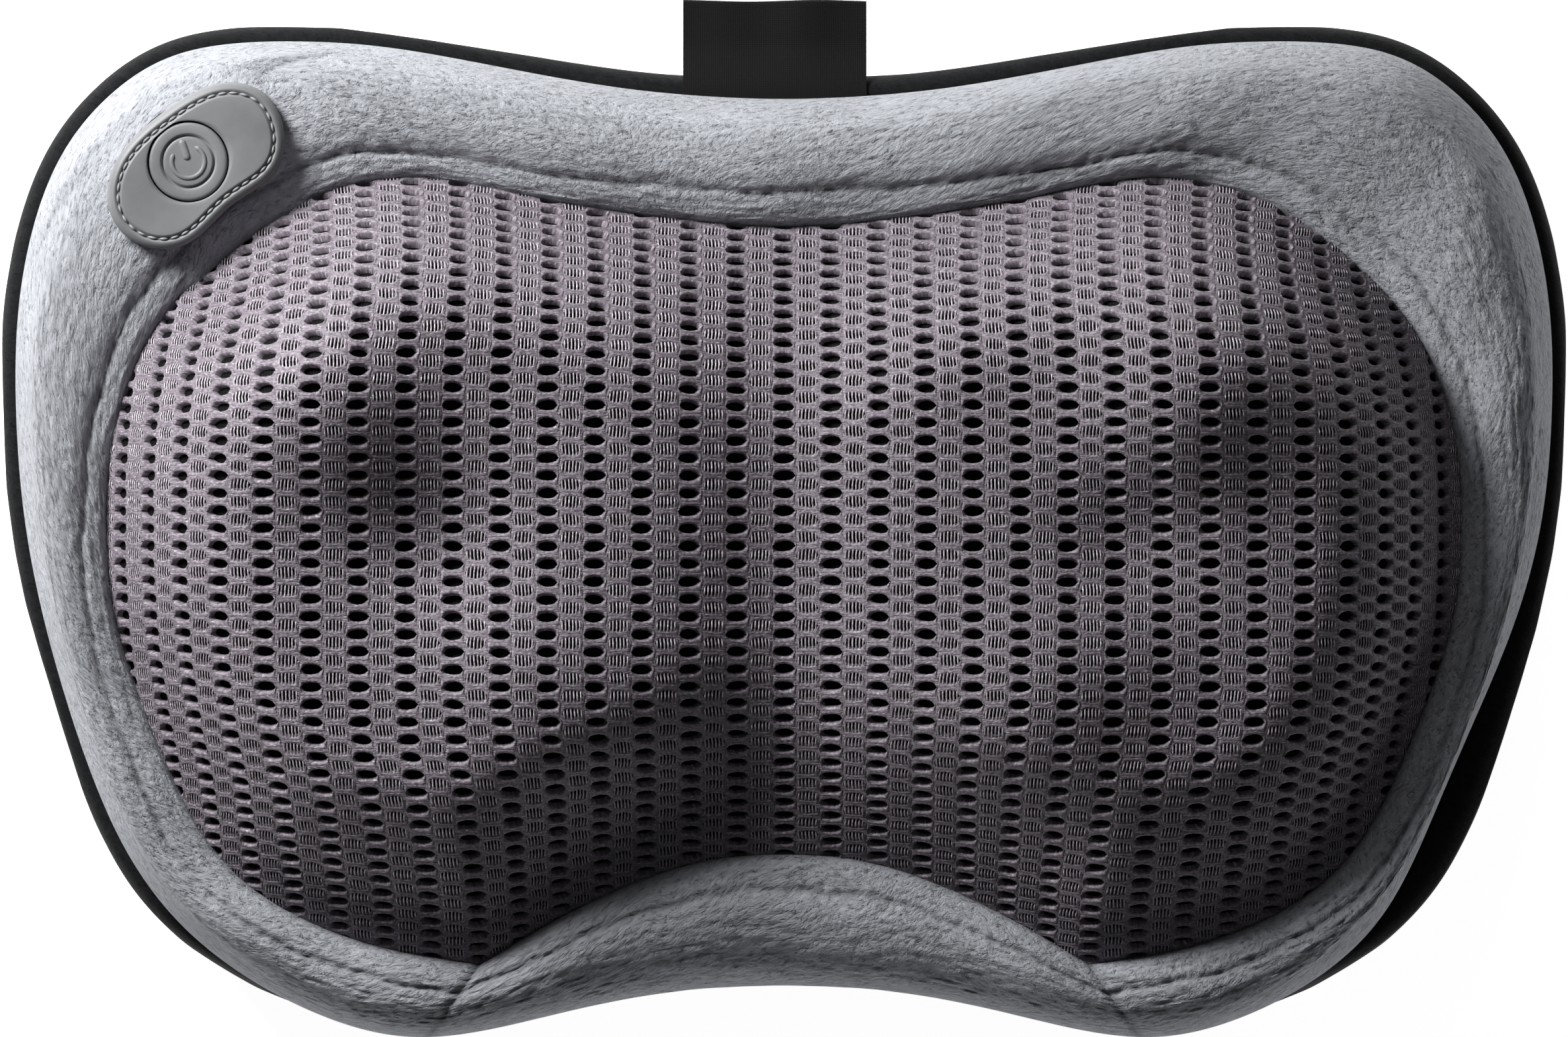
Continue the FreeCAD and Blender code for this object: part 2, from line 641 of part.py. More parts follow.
def lamp_lens(side):
    x = side * HEAD_X
    bodies = []
    for radius, foot, top in ((LENS_R, LAMP_Z, 74), (LENS_R - 1.6, 60, 72.6)):
        room = box(x - LENS_R, x + LENS_R, AXLE_Y - LENS_R, AXLE_Y + LENS_R, LENS_Z, top)
        dome = Part.makeSphere(radius, V(x, AXLE_Y, LENS_Z)).common(room)
        bodies.append(cylinder(radius, foot, LENS_Z, x, AXLE_Y).fuse(dome))
    outer, inner = bodies
    collar = tube(LENS_R, SPINDLE_R + 0.05, 60.4, LAMP_Z, x, AXLE_Y)
    return outer.removeSplitter().cut(inner).fuse(collar).removeSplitter()


# ---- control pad --------------------------------------------------------------------------
def pad_wire(grow, z):
    """A bean outline: round ends, a full upper side and a slightly hollow lower side."""
    shape = [
        (21.3, 4.0), (14.5, 12.2), (1.5, 14.4), (-12.5, 12.4), (-21.0, 3.8), (-19.2, -6.6),
        (-10.5, -11.6), (0.5, -10.6), (11.0, -10.8), (18.8, -6.0),
    ]
    turn = math.radians(PAD_TILT)
    points = []
    for x, y in shape:
        reach = math.hypot(x, y)
        gx = x * (1 + grow / reach)
        gy = y * (1 + grow / reach)
        px = PAD_CENTRE[0] + gx * math.cos(turn) - gy * math.sin(turn)
        py = PAD_CENTRE[1] + gx * math.sin(turn) + gy * math.cos(turn)
        points.append(V(px, py, z))
    curve = Part.BSplineCurve()
    curve.interpolate(points, PeriodicFlag=True)
    return Part.Wire(curve.toShape())


def pad_slab(grow, z0, z1):
    return Part.Face(pad_wire(grow, z0)).extrude(V(0, 0, z1 - z0))


def control_pad():
    """Rubber pad with a raised rim, a dished face and the hole that the button moves in."""
    z0, z1 = PAD_Z
    x, y = BUTTON_AT
    pad = pad_slab(0, z0, z1)
    rim = [e for e in pad.Edges if e.Length > 60 and e.BoundBox.ZMin > z1 - 0.01]
    pad = pad.makeFillet(0.9, rim)
    pad = pad.cut(pad_slab(-3.6, z1 - 0.7, z1 + 1))
    return pad.cut(cylinder(BUTTON_R + BUTTON_GAP, z0 - 1, z1 + 1, x, y))


def pad_stitches():
    """Thread stitches lying in the pad's rim, alternate stitches under it left out."""
    stitches = []
    points = pad_wire(-1.9, PAD_Z[1]).discretize(93)[:-1]
    for a, b in zip(points[::2], points[1::2]):
        lift = V(0, 0, 0.3)
        stitches.append(Part.makeCylinder(0.28, (b - a).Length * 0.86, a + lift, b - a))
    return Part.makeCompound(stitches)


def power_button():
    """Round key with a ring groove, on a stem that reaches the switch."""
    x, y = BUTTON_AT
    top = PAD_Z[1] - 0.2
    key = fused([
        cylinder(BUTTON_R, PAD_Z[0] - 0.4, top, x, y),
        cylinder(2.0, SWITCH_TOP + 1.0, PAD_Z[0], x, y),
    ])
    return key.cut(tube(5.8, 5.3, top - 0.3, top + 1, x, y))


def control_housing():
    x, y = BUTTON_AT
    cup = cylinder(12, 62, PAD_Z[0] - CLEAR, x, y).cut(cylinder(10.2, 64, 90, x, y))
    return cup.cut(lead(CONTROL_ROUTE[:3], LEAD_R + 0.4))


def control_board():
    x, y = BUTTON_AT
    return cylinder(9.8, *KEY_BOARD_Z, x, y)


def tact_switch():
    x, y = BUTTON_AT
    body = box(x - 3, x + 3, y - 3, y + 3, KEY_BOARD_Z[1], SWITCH_TOP - 0.5)
    return fused([body, cylinder(1.7, SWITCH_TOP - 1, SWITCH_TOP, x, y)])


def indicator_light():
    """Small light-emitting diode on the board, under the key's translucent dot."""
    x, y = polar(6.6, 160, *BUTTON_AT)
    return fused([cylinder(1.5, KEY_BOARD_Z[1], 74.2, x, y), Part.makeSphere(1.5, V(x, y, 74.2))])


# ---- electrics ----------------------------------------------------------------------------
def main_board():
    board = box(-33, 33, -54.5, -27.5, *BOARD_Z)
    for x, y in BOARD_SCREWS:
        board = board.cut(cylinder(1.3, 0, 30, x, y))
    parts = [board]
    for x, y, radius, height in ((-12, -44, 4, 9), (-2, -46, 4, 9), (12, -46, 2.5, 7)):
        parts.append(cylinder(radius, BOARD_Z[1] - 0.2, BOARD_Z[1] + height, x, y))
    parts.append(box(-8, 2, -37, -30.5, BOARD_Z[1] - 0.2, BOARD_Z[1] + 1.6))
    parts.append(box(8, 20, -36, -31, BOARD_Z[1] - 0.2, BOARD_Z[1] + 5))
    parts.append(box(-23.5, -17, -36, -31, BOARD_Z[1] - 0.2, BOARD_Z[1] + 5))
    parts.append(box(18, 24, -49, -42, BOARD_Z[1] - 0.2, BOARD_Z[1] + 5))
    return fused(parts)


def board_screws():
    return [pan_screw(x, y, BOARD_Z[1], 5, 1.05, 2.0, 1.3) for x, y in BOARD_SCREWS]


def inlet_housing():
    y0, y1 = INLET_Y
    body = fused([y_cylinder(5.0, y0, y1, 0, INLET_Z), y_cylinder(7.2, y0, y0 + 1.8, 0, INLET_Z)])
    return body.cut(y_cylinder(BARREL_R + 0.35, y0 - 1, y1 - 3.5, 0, INLET_Z))


def inlet_pin():
    y0, y1 = INLET_Y
    pin = y_cylinder(PIN_R, y0 + 2.5, y1 - 3.5, 0, INLET_Z)
    tail = y_cylinder(PIN_R, y1, y1 + 3.0, 2.5, INLET_Z)
    spring = box(-3.6, -2.4, y1, y1 + 3.0, INLET_Z - 0.5, INLET_Z + 0.5)
    return Part.makeCompound([pin, tail, spring])


def inlet_grommet():
    """Rubber ring between the inlet's flange and the cover fabric, with a groove for the fabric."""
    y0 = INLET_Y[0]
    ring = y_tube(8.6, 5.15, y0 + 1.8 + 0.1, y0 + 9.5, 0, INLET_Z)
    return ring.cut(y_tube(9.5, 6.6, y0 + 3.6, y0 + 8.3, 0, INLET_Z))


# ---- zip ----------------------------------------------------------------------------------
def zip_tapes():
    tapes = []
    for side in (-1, 1):
        low, high = sorted((side * 1.4, side * 7.5))
        tapes.append(box(-ZIP_HALF, ZIP_HALF, ZIP_Y + low, ZIP_Y + high, ZIP_Z - 0.3, ZIP_Z + 0.3))
    return Part.makeCompound(tapes)


def zip_teeth():
    """Two rows of moulded teeth gripping the tapes' inner edges."""
    teeth = []
    for n in range(int(2 * (ZIP_HALF - 4) / ZIP_PITCH)):
        x = -ZIP_HALF + 4 + n * ZIP_PITCH
        for side in (-1, 1):
            low, high = sorted((side * 0.45, side * 2.0))
            tooth = box(x, x + 1.4, ZIP_Y + low, ZIP_Y + high, ZIP_Z - 0.6, ZIP_Z + 0.6)
            near, far = sorted((side * 1.39, side * 3.0))
            tape = box(x - 1, x + 3, ZIP_Y + near, ZIP_Y + far, ZIP_Z - 0.31, ZIP_Z + 0.31)
            teeth.append(tooth.cut(tape))
    return Part.makeCompound(teeth)


def zip_slider():
    """Two plates over and under the teeth, joined by the wedge that runs between the two rows."""
    x = SLIDER_X
    lower = rounded_slab(x - 4.5, x + 4.5, ZIP_Y - 3.2, ZIP_Y + 3.2, 0.35, ZIP_Z - 0.8, 1.6)
    upper = rounded_slab(x - 4.5, x + 4.5, ZIP_Y - 3.2, ZIP_Y + 3.2, ZIP_Z + 0.8, 3.1, 1.6)
    wedge = box(x - 1.5, x + 1.5, ZIP_Y - 0.3, ZIP_Y + 0.3, 0.5, 3.0)
    return fused([lower, upper, wedge])


# ---- motor --------------------------------------------------------------------------------
def motor_can():
    y0, y1 = MOTOR_Y
    can = y_tube(MOTOR_R, MOTOR_R - 1.2, y0, y1, 0, WORM_Z)
    face = y_tube(MOTOR_R - 1, 3.2, y0, y0 + 1.2, 0, WORM_Z)
    boss = y_tube(4.0, 2.2, y0 - 2, y0 + 1, 0, WORM_Z)
    can = fused([can, face, boss])
    for side in (-1, 1):
        can = can.cut(y_cylinder(1.2, y0 - 1, y0 + 2, side * 8, WORM_Z))
    return can


def motor_end_bell():
    y1 = MOTOR_Y[1]
    bell = fused([
        y_cylinder(MOTOR_R - 1.3, y1 - 2, y1 + 0.1, 0, WORM_Z),
        y_cylinder(MOTOR_R, y1 + 0.05, y1 + 3.0, 0, WORM_Z),
        y_cylinder(4.5, y1 + 2.5, y1 + 5.0, 0, WORM_Z),
    ])
    bell = bell.cut(y_cylinder(SHAFT_R + 0.1, y1 - 3, y1 + 3.5, 0, WORM_Z))
    tabs = [box(x - 1, x + 1, y1 + 2.9, y1 + 6.0, WORM_Z - 0.3, WORM_Z + 0.3) for x in MOTOR_TABS]
    return fused([bell] + tabs)


def motor_rotor():
    """Slotted armature and commutator."""
    y0, y1 = MOTOR_Y
    core = y_cylinder(MOTOR_R - 4.5, y0 + 8, y1 - 12, 0, WORM_Z)
    for n in range(5):
        x, z = polar(MOTOR_R - 6.5, 72 * n)
        core = core.cut(y_cylinder(2.4, y0, y1, x, WORM_Z + z))
    commutator = y_cylinder(4.0, y1 - 9, y1 - 3.5, 0, WORM_Z)
    return core, commutator


def motor_shaft():
    core, commutator = motor_rotor()
    return fused([y_cylinder(SHAFT_R, WORM_Y[0] - 6.2, MOTOR_Y[1] + 3, 0, WORM_Z), core, commutator])


def motor_screws():
    screws = []
    for side in (-1, 1):
        screw = y_cylinder(1.0, 11.8, MOTOR_Y[0] + 1.1, side * 8, WORM_Z)
        head = y_cylinder(2.4, 11.9, 13.55, side * 8, WORM_Z)
        slot = box(side * 8 - 3, side * 8 + 3, 11.5, 12.5, WORM_Z - 0.3, WORM_Z + 0.3)
        screws.append(screw.fuse(head).cut(slot))
    return Part.makeCompound(screws)


def worm_end_bush():
    return y_tube(3.0, SHAFT_R + 0.08, -22.8, -18.6, 0, WORM_Z)


# ---- assembly -----------------------------------------------------------------------------
def chassis_screws():
    screws = [pan_screw(x, y, PLATE_Z[1], 11) for x, y in lug_places()]
    for side in (-1, 1):
        for n in range(3):
            x, y = polar(FOOT_SCREWS_R, 120 * n + 90, side * HEAD_X, AXLE_Y)
            screws.append(pan_screw(x, y, FLOOR_Z[1] + 1.6, 3.9, 1.25, 2.2, 1.0))
    return Part.makeCompound(screws + board_screws())


def label_tab():
    """Folded woven tab caught in the top seam."""
    x0, x1 = TAB_X
    tab = box(x0, x1, 89, TAB_TOP, *TAB_Z)
    corners = [e for e in tab.Edges if abs(e.Vertexes[0].Z - e.Vertexes[1].Z) > 1 and e.BoundBox.YMin > 100]
    return tab.makeFillet(1.5, corners)


def rear_foam():
    sheet = Part.Face(wire_at(half_points(0, black_edge(21)), 3.8)).extrude(V(0, 0, 3.8))
    for side in (-1, 1):
        sheet = sheet.cut(cylinder(8, 0, 10, side * HEAD_X, AXLE_Y))
    return sheet


def main():
    os.makedirs("parts", exist_ok=True)
    nodes = {}
    plush = plush_body()
    pad_pocket = pad_slab(0.6, PAD_Z[0] - CLEAR, 95)
    cup_space = cylinder(12.5, 61, 95, *BUTTON_AT)
    plush = plush.cut(pad_pocket).cut(cup_space)
    nodes["plush_surround"] = plush.cut(mitre_blocks(False))
    nodes["plush_lower_arch"] = plush.common(mitre_blocks(True))
    zip_slot = box(-ZIP_HALF - 1, ZIP_HALF + 1, ZIP_Y - 4.0, ZIP_Y + 4.0, -1, SKIN + 1)
    tape_room = box(-ZIP_HALF - 1, ZIP_HALF + 1, ZIP_Y - 8, ZIP_Y + 8, ZIP_Z - 0.6, ZIP_Z + 0.6)
    inlet_hole = y_cylinder(8.9, INLET_Y[0] - 10, -80, 0, INLET_Z)
    tab_notch = box(TAB_X[0] - CLEAR, TAB_X[1] + CLEAR, 80, 120, TAB_Z[0] - CLEAR, SEAM_Z + 1)
    nodes["rear_cover"] = rear_cover_body().cut(zip_slot).cut(tape_room).cut(inlet_hole).cut(tab_notch)
    nodes["foam_surround"] = foam_body().cut(cup_space).cut(y_cylinder(9.5, -120, -60, 0, INLET_Z))
    nodes["rear_foam"] = rear_foam()
    under_mesh = MESH_T + CLEAR
    nodes["mesh_panel"] = panel_shell(0, 0.4, MESH_T)
    nodes["inner_liner"] = panel_shell(under_mesh, 0.4 + under_mesh, LINER_T)
    nodes["label_tab"] = label_tab()
    nodes["zip_tapes"] = zip_tapes()
    nodes["zip_teeth"] = zip_teeth()
    nodes["zip_slider"] = zip_slider()

    motor_leads = []
    for side in (-1, 1):
        route = [(x + side * 2, y, z) for x, y, z in MOTOR_ROUTE]
        motor_leads.append(lead(route, MOTOR_LEAD_R))
    nodes["control_lead"] = lead(CONTROL_ROUTE, LEAD_R)
    nodes["motor_leads"] = Part.makeCompound(motor_leads)
    nodes["inlet_lead"] = lead(INLET_ROUTE, INLET_LEAD_R)
    shell = chassis_rear()
    shell = shell.cut(lead(CONTROL_ROUTE, LEAD_R + CHANNEL)).cut(lead(INLET_ROUTE, INLET_LEAD_R + 0.7))
    nodes["chassis_rear_shell"] = shell
    nodes["chassis_front_plate"] = chassis_front()
    nodes["chassis_screws"] = chassis_screws()
    nodes["motor_can"] = motor_can()
    nodes["motor_end_bell"] = motor_end_bell()
    nodes["motor_shaft"] = motor_shaft()
    nodes["motor_screws"] = motor_screws()
    nodes["worm"] = worm_body()
    nodes["worm_end_bush"] = worm_end_bush()
    nodes["main_board"] = main_board()
    nodes["dc_inlet_housing"] = inlet_housing()
    nodes["dc_inlet_pin"] = inlet_pin()
    nodes["inlet_grommet"] = inlet_grommet()
    nodes["control_pad"] = control_pad()
    nodes["pad_stitches"] = pad_stitches()
    nodes["power_button"] = power_button()
    nodes["control_housing"] = control_housing()
    nodes["control_board"] = control_board()
    nodes["tact_switch"] = tact_switch()
    nodes["indicator_light"] = indicator_light()

    for word, side in (("left", -1), ("right", 1)):
        x = side * HEAD_X
        axle_x = side * REDUCTION_X
        nodes[f"{word}_compound_gear"] = compound_gear(side)
        nodes[f"{word}_reduction_axle"] = cylinder(AXLE_R, FLOOR_Z[1], PLATE_Z[1] - 1, axle_x, AXLE_Y)
        nodes[f"{word}_output_gear"] = output_gear(side)
        nodes[f"{word}_head_bush"] = fused([
            tube(HUB_R + 2.6, HUB_R + RUN, PLATE_Z[0], PLATE_Z[1], x, AXLE_Y),
            tube(HUB_R + 4.6, HUB_R + RUN, PLATE_Z[0] - 1.2, PLATE_Z[0], x, AXLE_Y),
        ])
        nodes[f"{word}_head_arm"] = head_arm(side)
        nodes[f"{word}_node_cores"] = node_cores(side)
        nodes[f"{word}_node_caps"] = node_caps(side)
        nodes[f"{word}_head_screws"] = head_screws(side)
        nodes[f"{word}_spindle"] = spindle(side)
        nodes[f"{word}_spindle_clip"] = spindle_clip(side)
        nodes[f"{word}_lamp_board"] = lamp_board(side)
        nodes[f"{word}_lamp_lens"] = lamp_lens(side)
    for name, shape in nodes.items():
        save(name, shape)


main()
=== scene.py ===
"""Pillow shiatsu neck massager: plush surround, air-mesh face, velour back, rubber button pad."""
import json
import math

import bpy
import numpy as np
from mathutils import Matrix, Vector


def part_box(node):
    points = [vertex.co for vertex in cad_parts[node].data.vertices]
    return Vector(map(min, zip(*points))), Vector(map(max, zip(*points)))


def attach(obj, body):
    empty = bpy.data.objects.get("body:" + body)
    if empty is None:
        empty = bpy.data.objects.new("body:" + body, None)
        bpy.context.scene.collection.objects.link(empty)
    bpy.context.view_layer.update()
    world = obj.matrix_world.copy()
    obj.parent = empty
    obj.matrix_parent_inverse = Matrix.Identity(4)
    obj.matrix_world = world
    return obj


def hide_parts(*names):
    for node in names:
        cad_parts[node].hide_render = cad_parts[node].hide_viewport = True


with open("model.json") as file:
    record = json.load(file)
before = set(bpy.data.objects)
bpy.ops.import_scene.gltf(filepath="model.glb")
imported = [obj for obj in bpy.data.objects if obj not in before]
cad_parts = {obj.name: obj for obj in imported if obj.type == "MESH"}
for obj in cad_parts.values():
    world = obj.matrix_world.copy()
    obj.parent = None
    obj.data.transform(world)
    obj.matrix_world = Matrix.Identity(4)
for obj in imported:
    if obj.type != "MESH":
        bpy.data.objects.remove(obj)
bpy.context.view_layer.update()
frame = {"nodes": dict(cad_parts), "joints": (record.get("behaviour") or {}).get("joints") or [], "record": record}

MM = 0.001

# ---- places read from the frame, in millimetres ---------------------------------------------


def place(node):
    """A node's lowest and highest corners in millimetres."""
    low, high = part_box(node)
    return np.array(low) / MM, np.array(high) / MM


REAR_HIGH = place("rear_cover")[1]
PANEL_LOW = place("mesh_panel")[0]
BUTTON_LOW, BUTTON_HIGH = place("power_button")
PAD_LOW, PAD_HIGH = place("control_pad")
TAB_LOW, TAB_HIGH = place("label_tab")
INLET_LOW, INLET_HIGH = place("dc_inlet_housing")
SEAM_Z = REAR_HIGH[2]
EDGE_Z = PANEL_LOW[2]
BUTTON_AT = (BUTTON_LOW + BUTTON_HIGH)[:2] / 2
BUTTON_R = (BUTTON_HIGH[0] - BUTTON_LOW[0]) / 2

# ---- outlines -------------------------------------------------------------------------------
# Half of the pillow's outline in millimetres, from the top middle to the bottom middle: outer
# edge (x, y), then the point of the mesh panel's edge inside it.
STATIONS = np.array([
    (0, 95.5, 0, 62.6), (38, 98, 27, 64.6), (77, 104.6, 55, 69), (104, 107, 79, 73),
    (130, 104.8, 103, 68), (149, 94, 124, 53.5), (162, 76, 138, 36), (169, 50, 144.8, 15),
    (170, 22, 145.8, -3), (167, -8, 144, -22), (158.5, -42, 136, -46), (145, -75, 124, -70),
    (126, -95.8, 108, -84), (102, -108, 88, -92), (77, -112.4, 65.5, -96), (51, -107.8, 46, -84.5),
    (26, -102.8, 23, -75), (0, -101.2, 0, -72.1),
])
CORNER = 14                     # station of the panel's sharp lower corner
LAST = len(STATIONS) - 1
TURNS = 2 * LAST                # stations all the way round
FINE_AROUND = 30                # steps of a finished skin for each station
COARSE_AROUND = 6               # steps of the cloth that is blown up
COARSE_RINGS = 22
FIRST_LOW = 11                  # past this station the outline turns along the bottom edge
WELT = 3.8                      # black rim outside the plush


def spline_table(points, closed):
    """Second differences of the cubic spline through points one parameter step apart."""
    count = len(points)
    bends = np.roll(points, 1, 0) - 2 * points + np.roll(points, -1, 0)
    matrix = 4 * np.eye(count) + np.eye(count, k=1) + np.eye(count, k=-1)
    if closed:
        matrix[0, -1] = matrix[-1, 0] = 1
    else:
        matrix[0] = matrix[-1] = 0
        matrix[0, 0] = matrix[-1, -1] = 1
        bends[0] = bends[-1] = 0
    return np.linalg.solve(matrix, 6 * bends.reshape(count, -1)).reshape(points.shape)


def spline(points, at, closed=False):
    """Cubic spline through points (first axis) read at parameters counted in points."""
    points = np.asarray(points, float)
    curve = spline_table(points, closed)
    count = len(points)
    whole = np.floor(at).astype(int)
    if not closed:
        whole = np.clip(whole, 0, count - 2)
    part = np.asarray(at - whole).reshape((-1,) + (1,) * (points.ndim - 1))
    here, after = whole % count, (whole + 1) % count
    rest = 1 - part
    cubic = (rest**3 - rest) * curve[here] + (part**3 - part) * curve[after]
    return rest * points[here] + part * points[after] + cubic / 6


def mirrored(half):
    """A closed list of points from its right half."""
    left = half[-2:0:-1] * (-1, 1)
    return np.vstack([half, left])


OUTER_POINTS = mirrored(STATIONS[:, :2])
PANEL_POINTS = mirrored(STATIONS[:, 2:])


def outer_edge(at):
    return spline(OUTER_POINTS, np.mod(at, TURNS), closed=True)


def panel_edge(at):
    """The panel's edge: one curve over the top and one along the arch, meeting at two corners."""
    at = np.mod(at, TURNS)
    over = spline(np.roll(PANEL_POINTS, CORNER, 0)[:2 * CORNER + 1], np.mod(at + CORNER, TURNS))
    arch = spline(PANEL_POINTS[CORNER:TURNS - CORNER + 1], at - CORNER)
    low = (at > CORNER) & (at < TURNS - CORNER)
    return np.where(low[:, None], arch, over)


def along_bottom(at):
    """0 round the top and sides, rising smoothly to 1 along the bottom edge."""
    from_top = np.minimum(np.mod(at, TURNS), TURNS - np.mod(at, TURNS))
    t = np.clip((from_top - FIRST_LOW) / 3, 0, 1)
    return t * t * (3 - 2 * t)


def inward(points):
    """Unit normals of a closed outline run clockwise, pointing in."""
    along = np.roll(points, -1, 0) - np.roll(points, 1, 0)
    return np.column_stack([along[:, 1], -along[:, 0]]) / np.linalg.norm(along, axis=1)[:, None]


def smooth(edge0, edge1, value):
    t = np.clip((value - edge0) / (edge1 - edge0), 0, 1)
    return t * t * (3 - 2 * t)


# ---- meshes ---------------------------------------------------------------------------------
def new_piece(name, points, faces, uv=None, body="root"):
    """A smooth mesh from points in millimetres and faces, with uv given for each point."""
    mesh = bpy.data.meshes.new(name)
    mesh.from_pydata(np.asarray(points, float) * MM, [], faces if isinstance(faces, list) else faces.tolist())
    if uv is not None:
        layer = mesh.uv_layers.new(name="UVMap")
        corner = np.zeros(len(mesh.loops), np.int32)
        mesh.loops.foreach_get("vertex_index", corner)
        layer.data.foreach_set("uv", (np.asarray(uv, np.float32)[corner]).ravel())
    mesh.validate()
    mesh.polygons.foreach_set("use_smooth", np.ones(len(mesh.polygons), bool))
    piece = bpy.data.objects.new(name, mesh)
    bpy.context.scene.collection.objects.link(piece)
    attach(piece, body)
    return piece


def grid_faces(rows, columns, close_rows=False, close_columns=False):
    """Quads of a grid of points numbered row by row."""
    r = np.arange(rows if close_rows else rows - 1)
    c = np.arange(columns if close_columns else columns - 1)
    r, c = np.meshgrid(r, c, indexing="ij")
    r1, c1 = (r + 1) % rows, (c + 1) % columns
    quads = np.stack([r * columns + c, r * columns + c1, r1 * columns + c1, r1 * columns + c], -1)
    return quads.reshape(-1, 4)


def fan_closed(grid, hub, turned=False):
    """Points and faces of rings round a middle: quads between the rings, then triangles from the
    last ring to one more point. Turned, they face the other way."""
    rows, columns = grid.shape[:2]
    quads = grid_faces(rows, columns, close_rows=True)
    last = np.arange(rows) * columns + columns - 1
    fan = np.column_stack([np.roll(last, -1), last, np.full(rows, rows * columns)])
    if turned:
        quads, fan = quads[:, ::-1], fan[:, ::-1]
    return np.vstack([grid.reshape(-1, 3), [hub]]), quads.tolist() + fan.tolist()


def steps_along(points, axis):
    """Length run along one axis of a grid of points, starting at nought."""
    gaps = np.linalg.norm(np.diff(points, axis=axis), axis=-1)
    start = np.zeros_like(np.take(gaps, [0], axis))
    return np.concatenate([start, np.cumsum(gaps, axis=axis)], axis=axis)


PUFF_FRAMES = 20


def puffed(points, pinned, pressure, cap):
    """Blows a ring of cloth up for twenty frames between its pinned points; returns how far
    each point moved, in millimetres, never more than cap."""
    rows, columns = points.shape[:2]
    flat = points.reshape(-1, 3)
    piece = new_piece("cloth_trial", flat, grid_faces(rows, columns, close_rows=True))
    pins = piece.vertex_groups.new(name="pins")
    pins.add(np.flatnonzero(pinned.ravel()).tolist(), 1.0, "REPLACE")
    cloth = piece.modifiers.new("Cloth", "CLOTH")
    cloth.settings.vertex_group_mass = "pins"
    cloth.settings.use_pressure = True
    cloth.settings.uniform_pressure_force = pressure
    cloth.settings.effector_weights.gravity = 0
    cloth.settings.tension_stiffness = 12
    cloth.settings.compression_stiffness = 12
    cloth.settings.bending_stiffness = 0.4
    cloth.settings.quality = 6
    cloth.point_cache.frame_start = 1
    cloth.point_cache.frame_end = PUFF_FRAMES
    scene = bpy.context.scene
    for number in range(1, PUFF_FRAMES + 1):
        scene.frame_set(number)
    evaluated = piece.evaluated_get(bpy.context.evaluated_depsgraph_get())
    moved = np.zeros(len(flat) * 3)
    evaluated.data.vertices.foreach_get("co", moved)
    shift = moved.reshape(-1, 3) / MM - flat
    length = np.linalg.norm(shift, axis=1, keepdims=True)
    shift *= np.tanh(length / cap) * cap / np.maximum(length, 1e-9)
    scene.frame_set(1)
    mesh = piece.data
    bpy.data.objects.remove(piece)
    bpy.data.meshes.remove(mesh)
    return shift.reshape(points.shape)


def cloth_shift(grid, last, pins, pressure, cap):
    """How a skin moves when it is blown up, on a coarse grid: grid gives the skin at a turn and a
    parameter across its section, which ends at last, and pins lists the rings that stay."""
    coarse = grid(np.arange(TURNS * COARSE_AROUND) / COARSE_AROUND, np.linspace(0, last, COARSE_RINGS))
    pinned = np.zeros(coarse.shape[:2], bool)
    pinned[:, pins] = True
    return puffed(coarse, pinned, pressure, cap)


def refined(values, at, across, last):
    """A coarse closed grid of values read on the fine one by cubic splines both ways."""
    around = spline(values, at * COARSE_AROUND, closed=True)
    return spline(around.swapaxes(0, 1), across * (COARSE_RINGS - 1) / last).swapaxes(0, 1)


# ---- materials ------------------------------------------------------------------------------
def add(tree, kind, inputs=None, **settings):
    """One node with its settings, its inputs linked or set."""
    made = tree.nodes.new(kind)
    for key, value in settings.items():
        setattr(made, key, value)
    for key, value in (inputs or {}).items():
        if isinstance(value, bpy.types.NodeSocket):
            tree.links.new(value, made.inputs[key])
        else:
            made.inputs[key].default_value = value
    return made


def maths(tree, operation, first, second=0.0):
    return add(tree, "ShaderNodeMath", {0: first, 1: second}, operation=operation).outputs[0]


def vector_maths(tree, operation, first, second):
    return add(tree, "ShaderNodeVectorMath", {0: first, 1: second}, operation=operation).outputs[0]


def mix_colour(tree, share, first, second):
    mixed = add(tree, "ShaderNodeMix", data_type="RGBA")
    for socket, value in ((0, share), (6, first), (7, second)):
        if isinstance(value, bpy.types.NodeSocket):
            tree.links.new(value, mixed.inputs[socket])
        elif socket == 0:
            mixed.inputs[0].default_value = value
        else:
            mixed.inputs[socket].default_value = (*value, 1)
    return mixed.outputs[2]


def ranged(tree, value, low, high, to_low=0.0, to_high=1.0):
    return add(tree, "ShaderNodeMapRange", {
        "Value": value, "From Min": low, "From Max": high, "To Min": to_low, "To Max": to_high,
    }).outputs[0]


def noise(tree, vector, scale, detail=3.0, roughness=0.55, distortion=0.0):
    return add(tree, "ShaderNodeTexNoise", {
        "Vector": vector, "Scale": scale, "Detail": detail, "Roughness": roughness,
        "Distortion": distortion,
    })


def make_group(name, inputs, outputs):
    tree = bpy.data.node_groups.new(name, "ShaderNodeTree")
    for label, kind, value in inputs:
        socket = tree.interface.new_socket(label, in_out="INPUT", socket_type=kind)
        if value is not None:
            socket.default_value = value
    for label in outputs:
        tree.interface.new_socket(label, in_out="OUTPUT", socket_type="NodeSocketFloat")
    return tree, tree.nodes.new("NodeGroupInput"), tree.nodes.new("NodeGroupOutput")


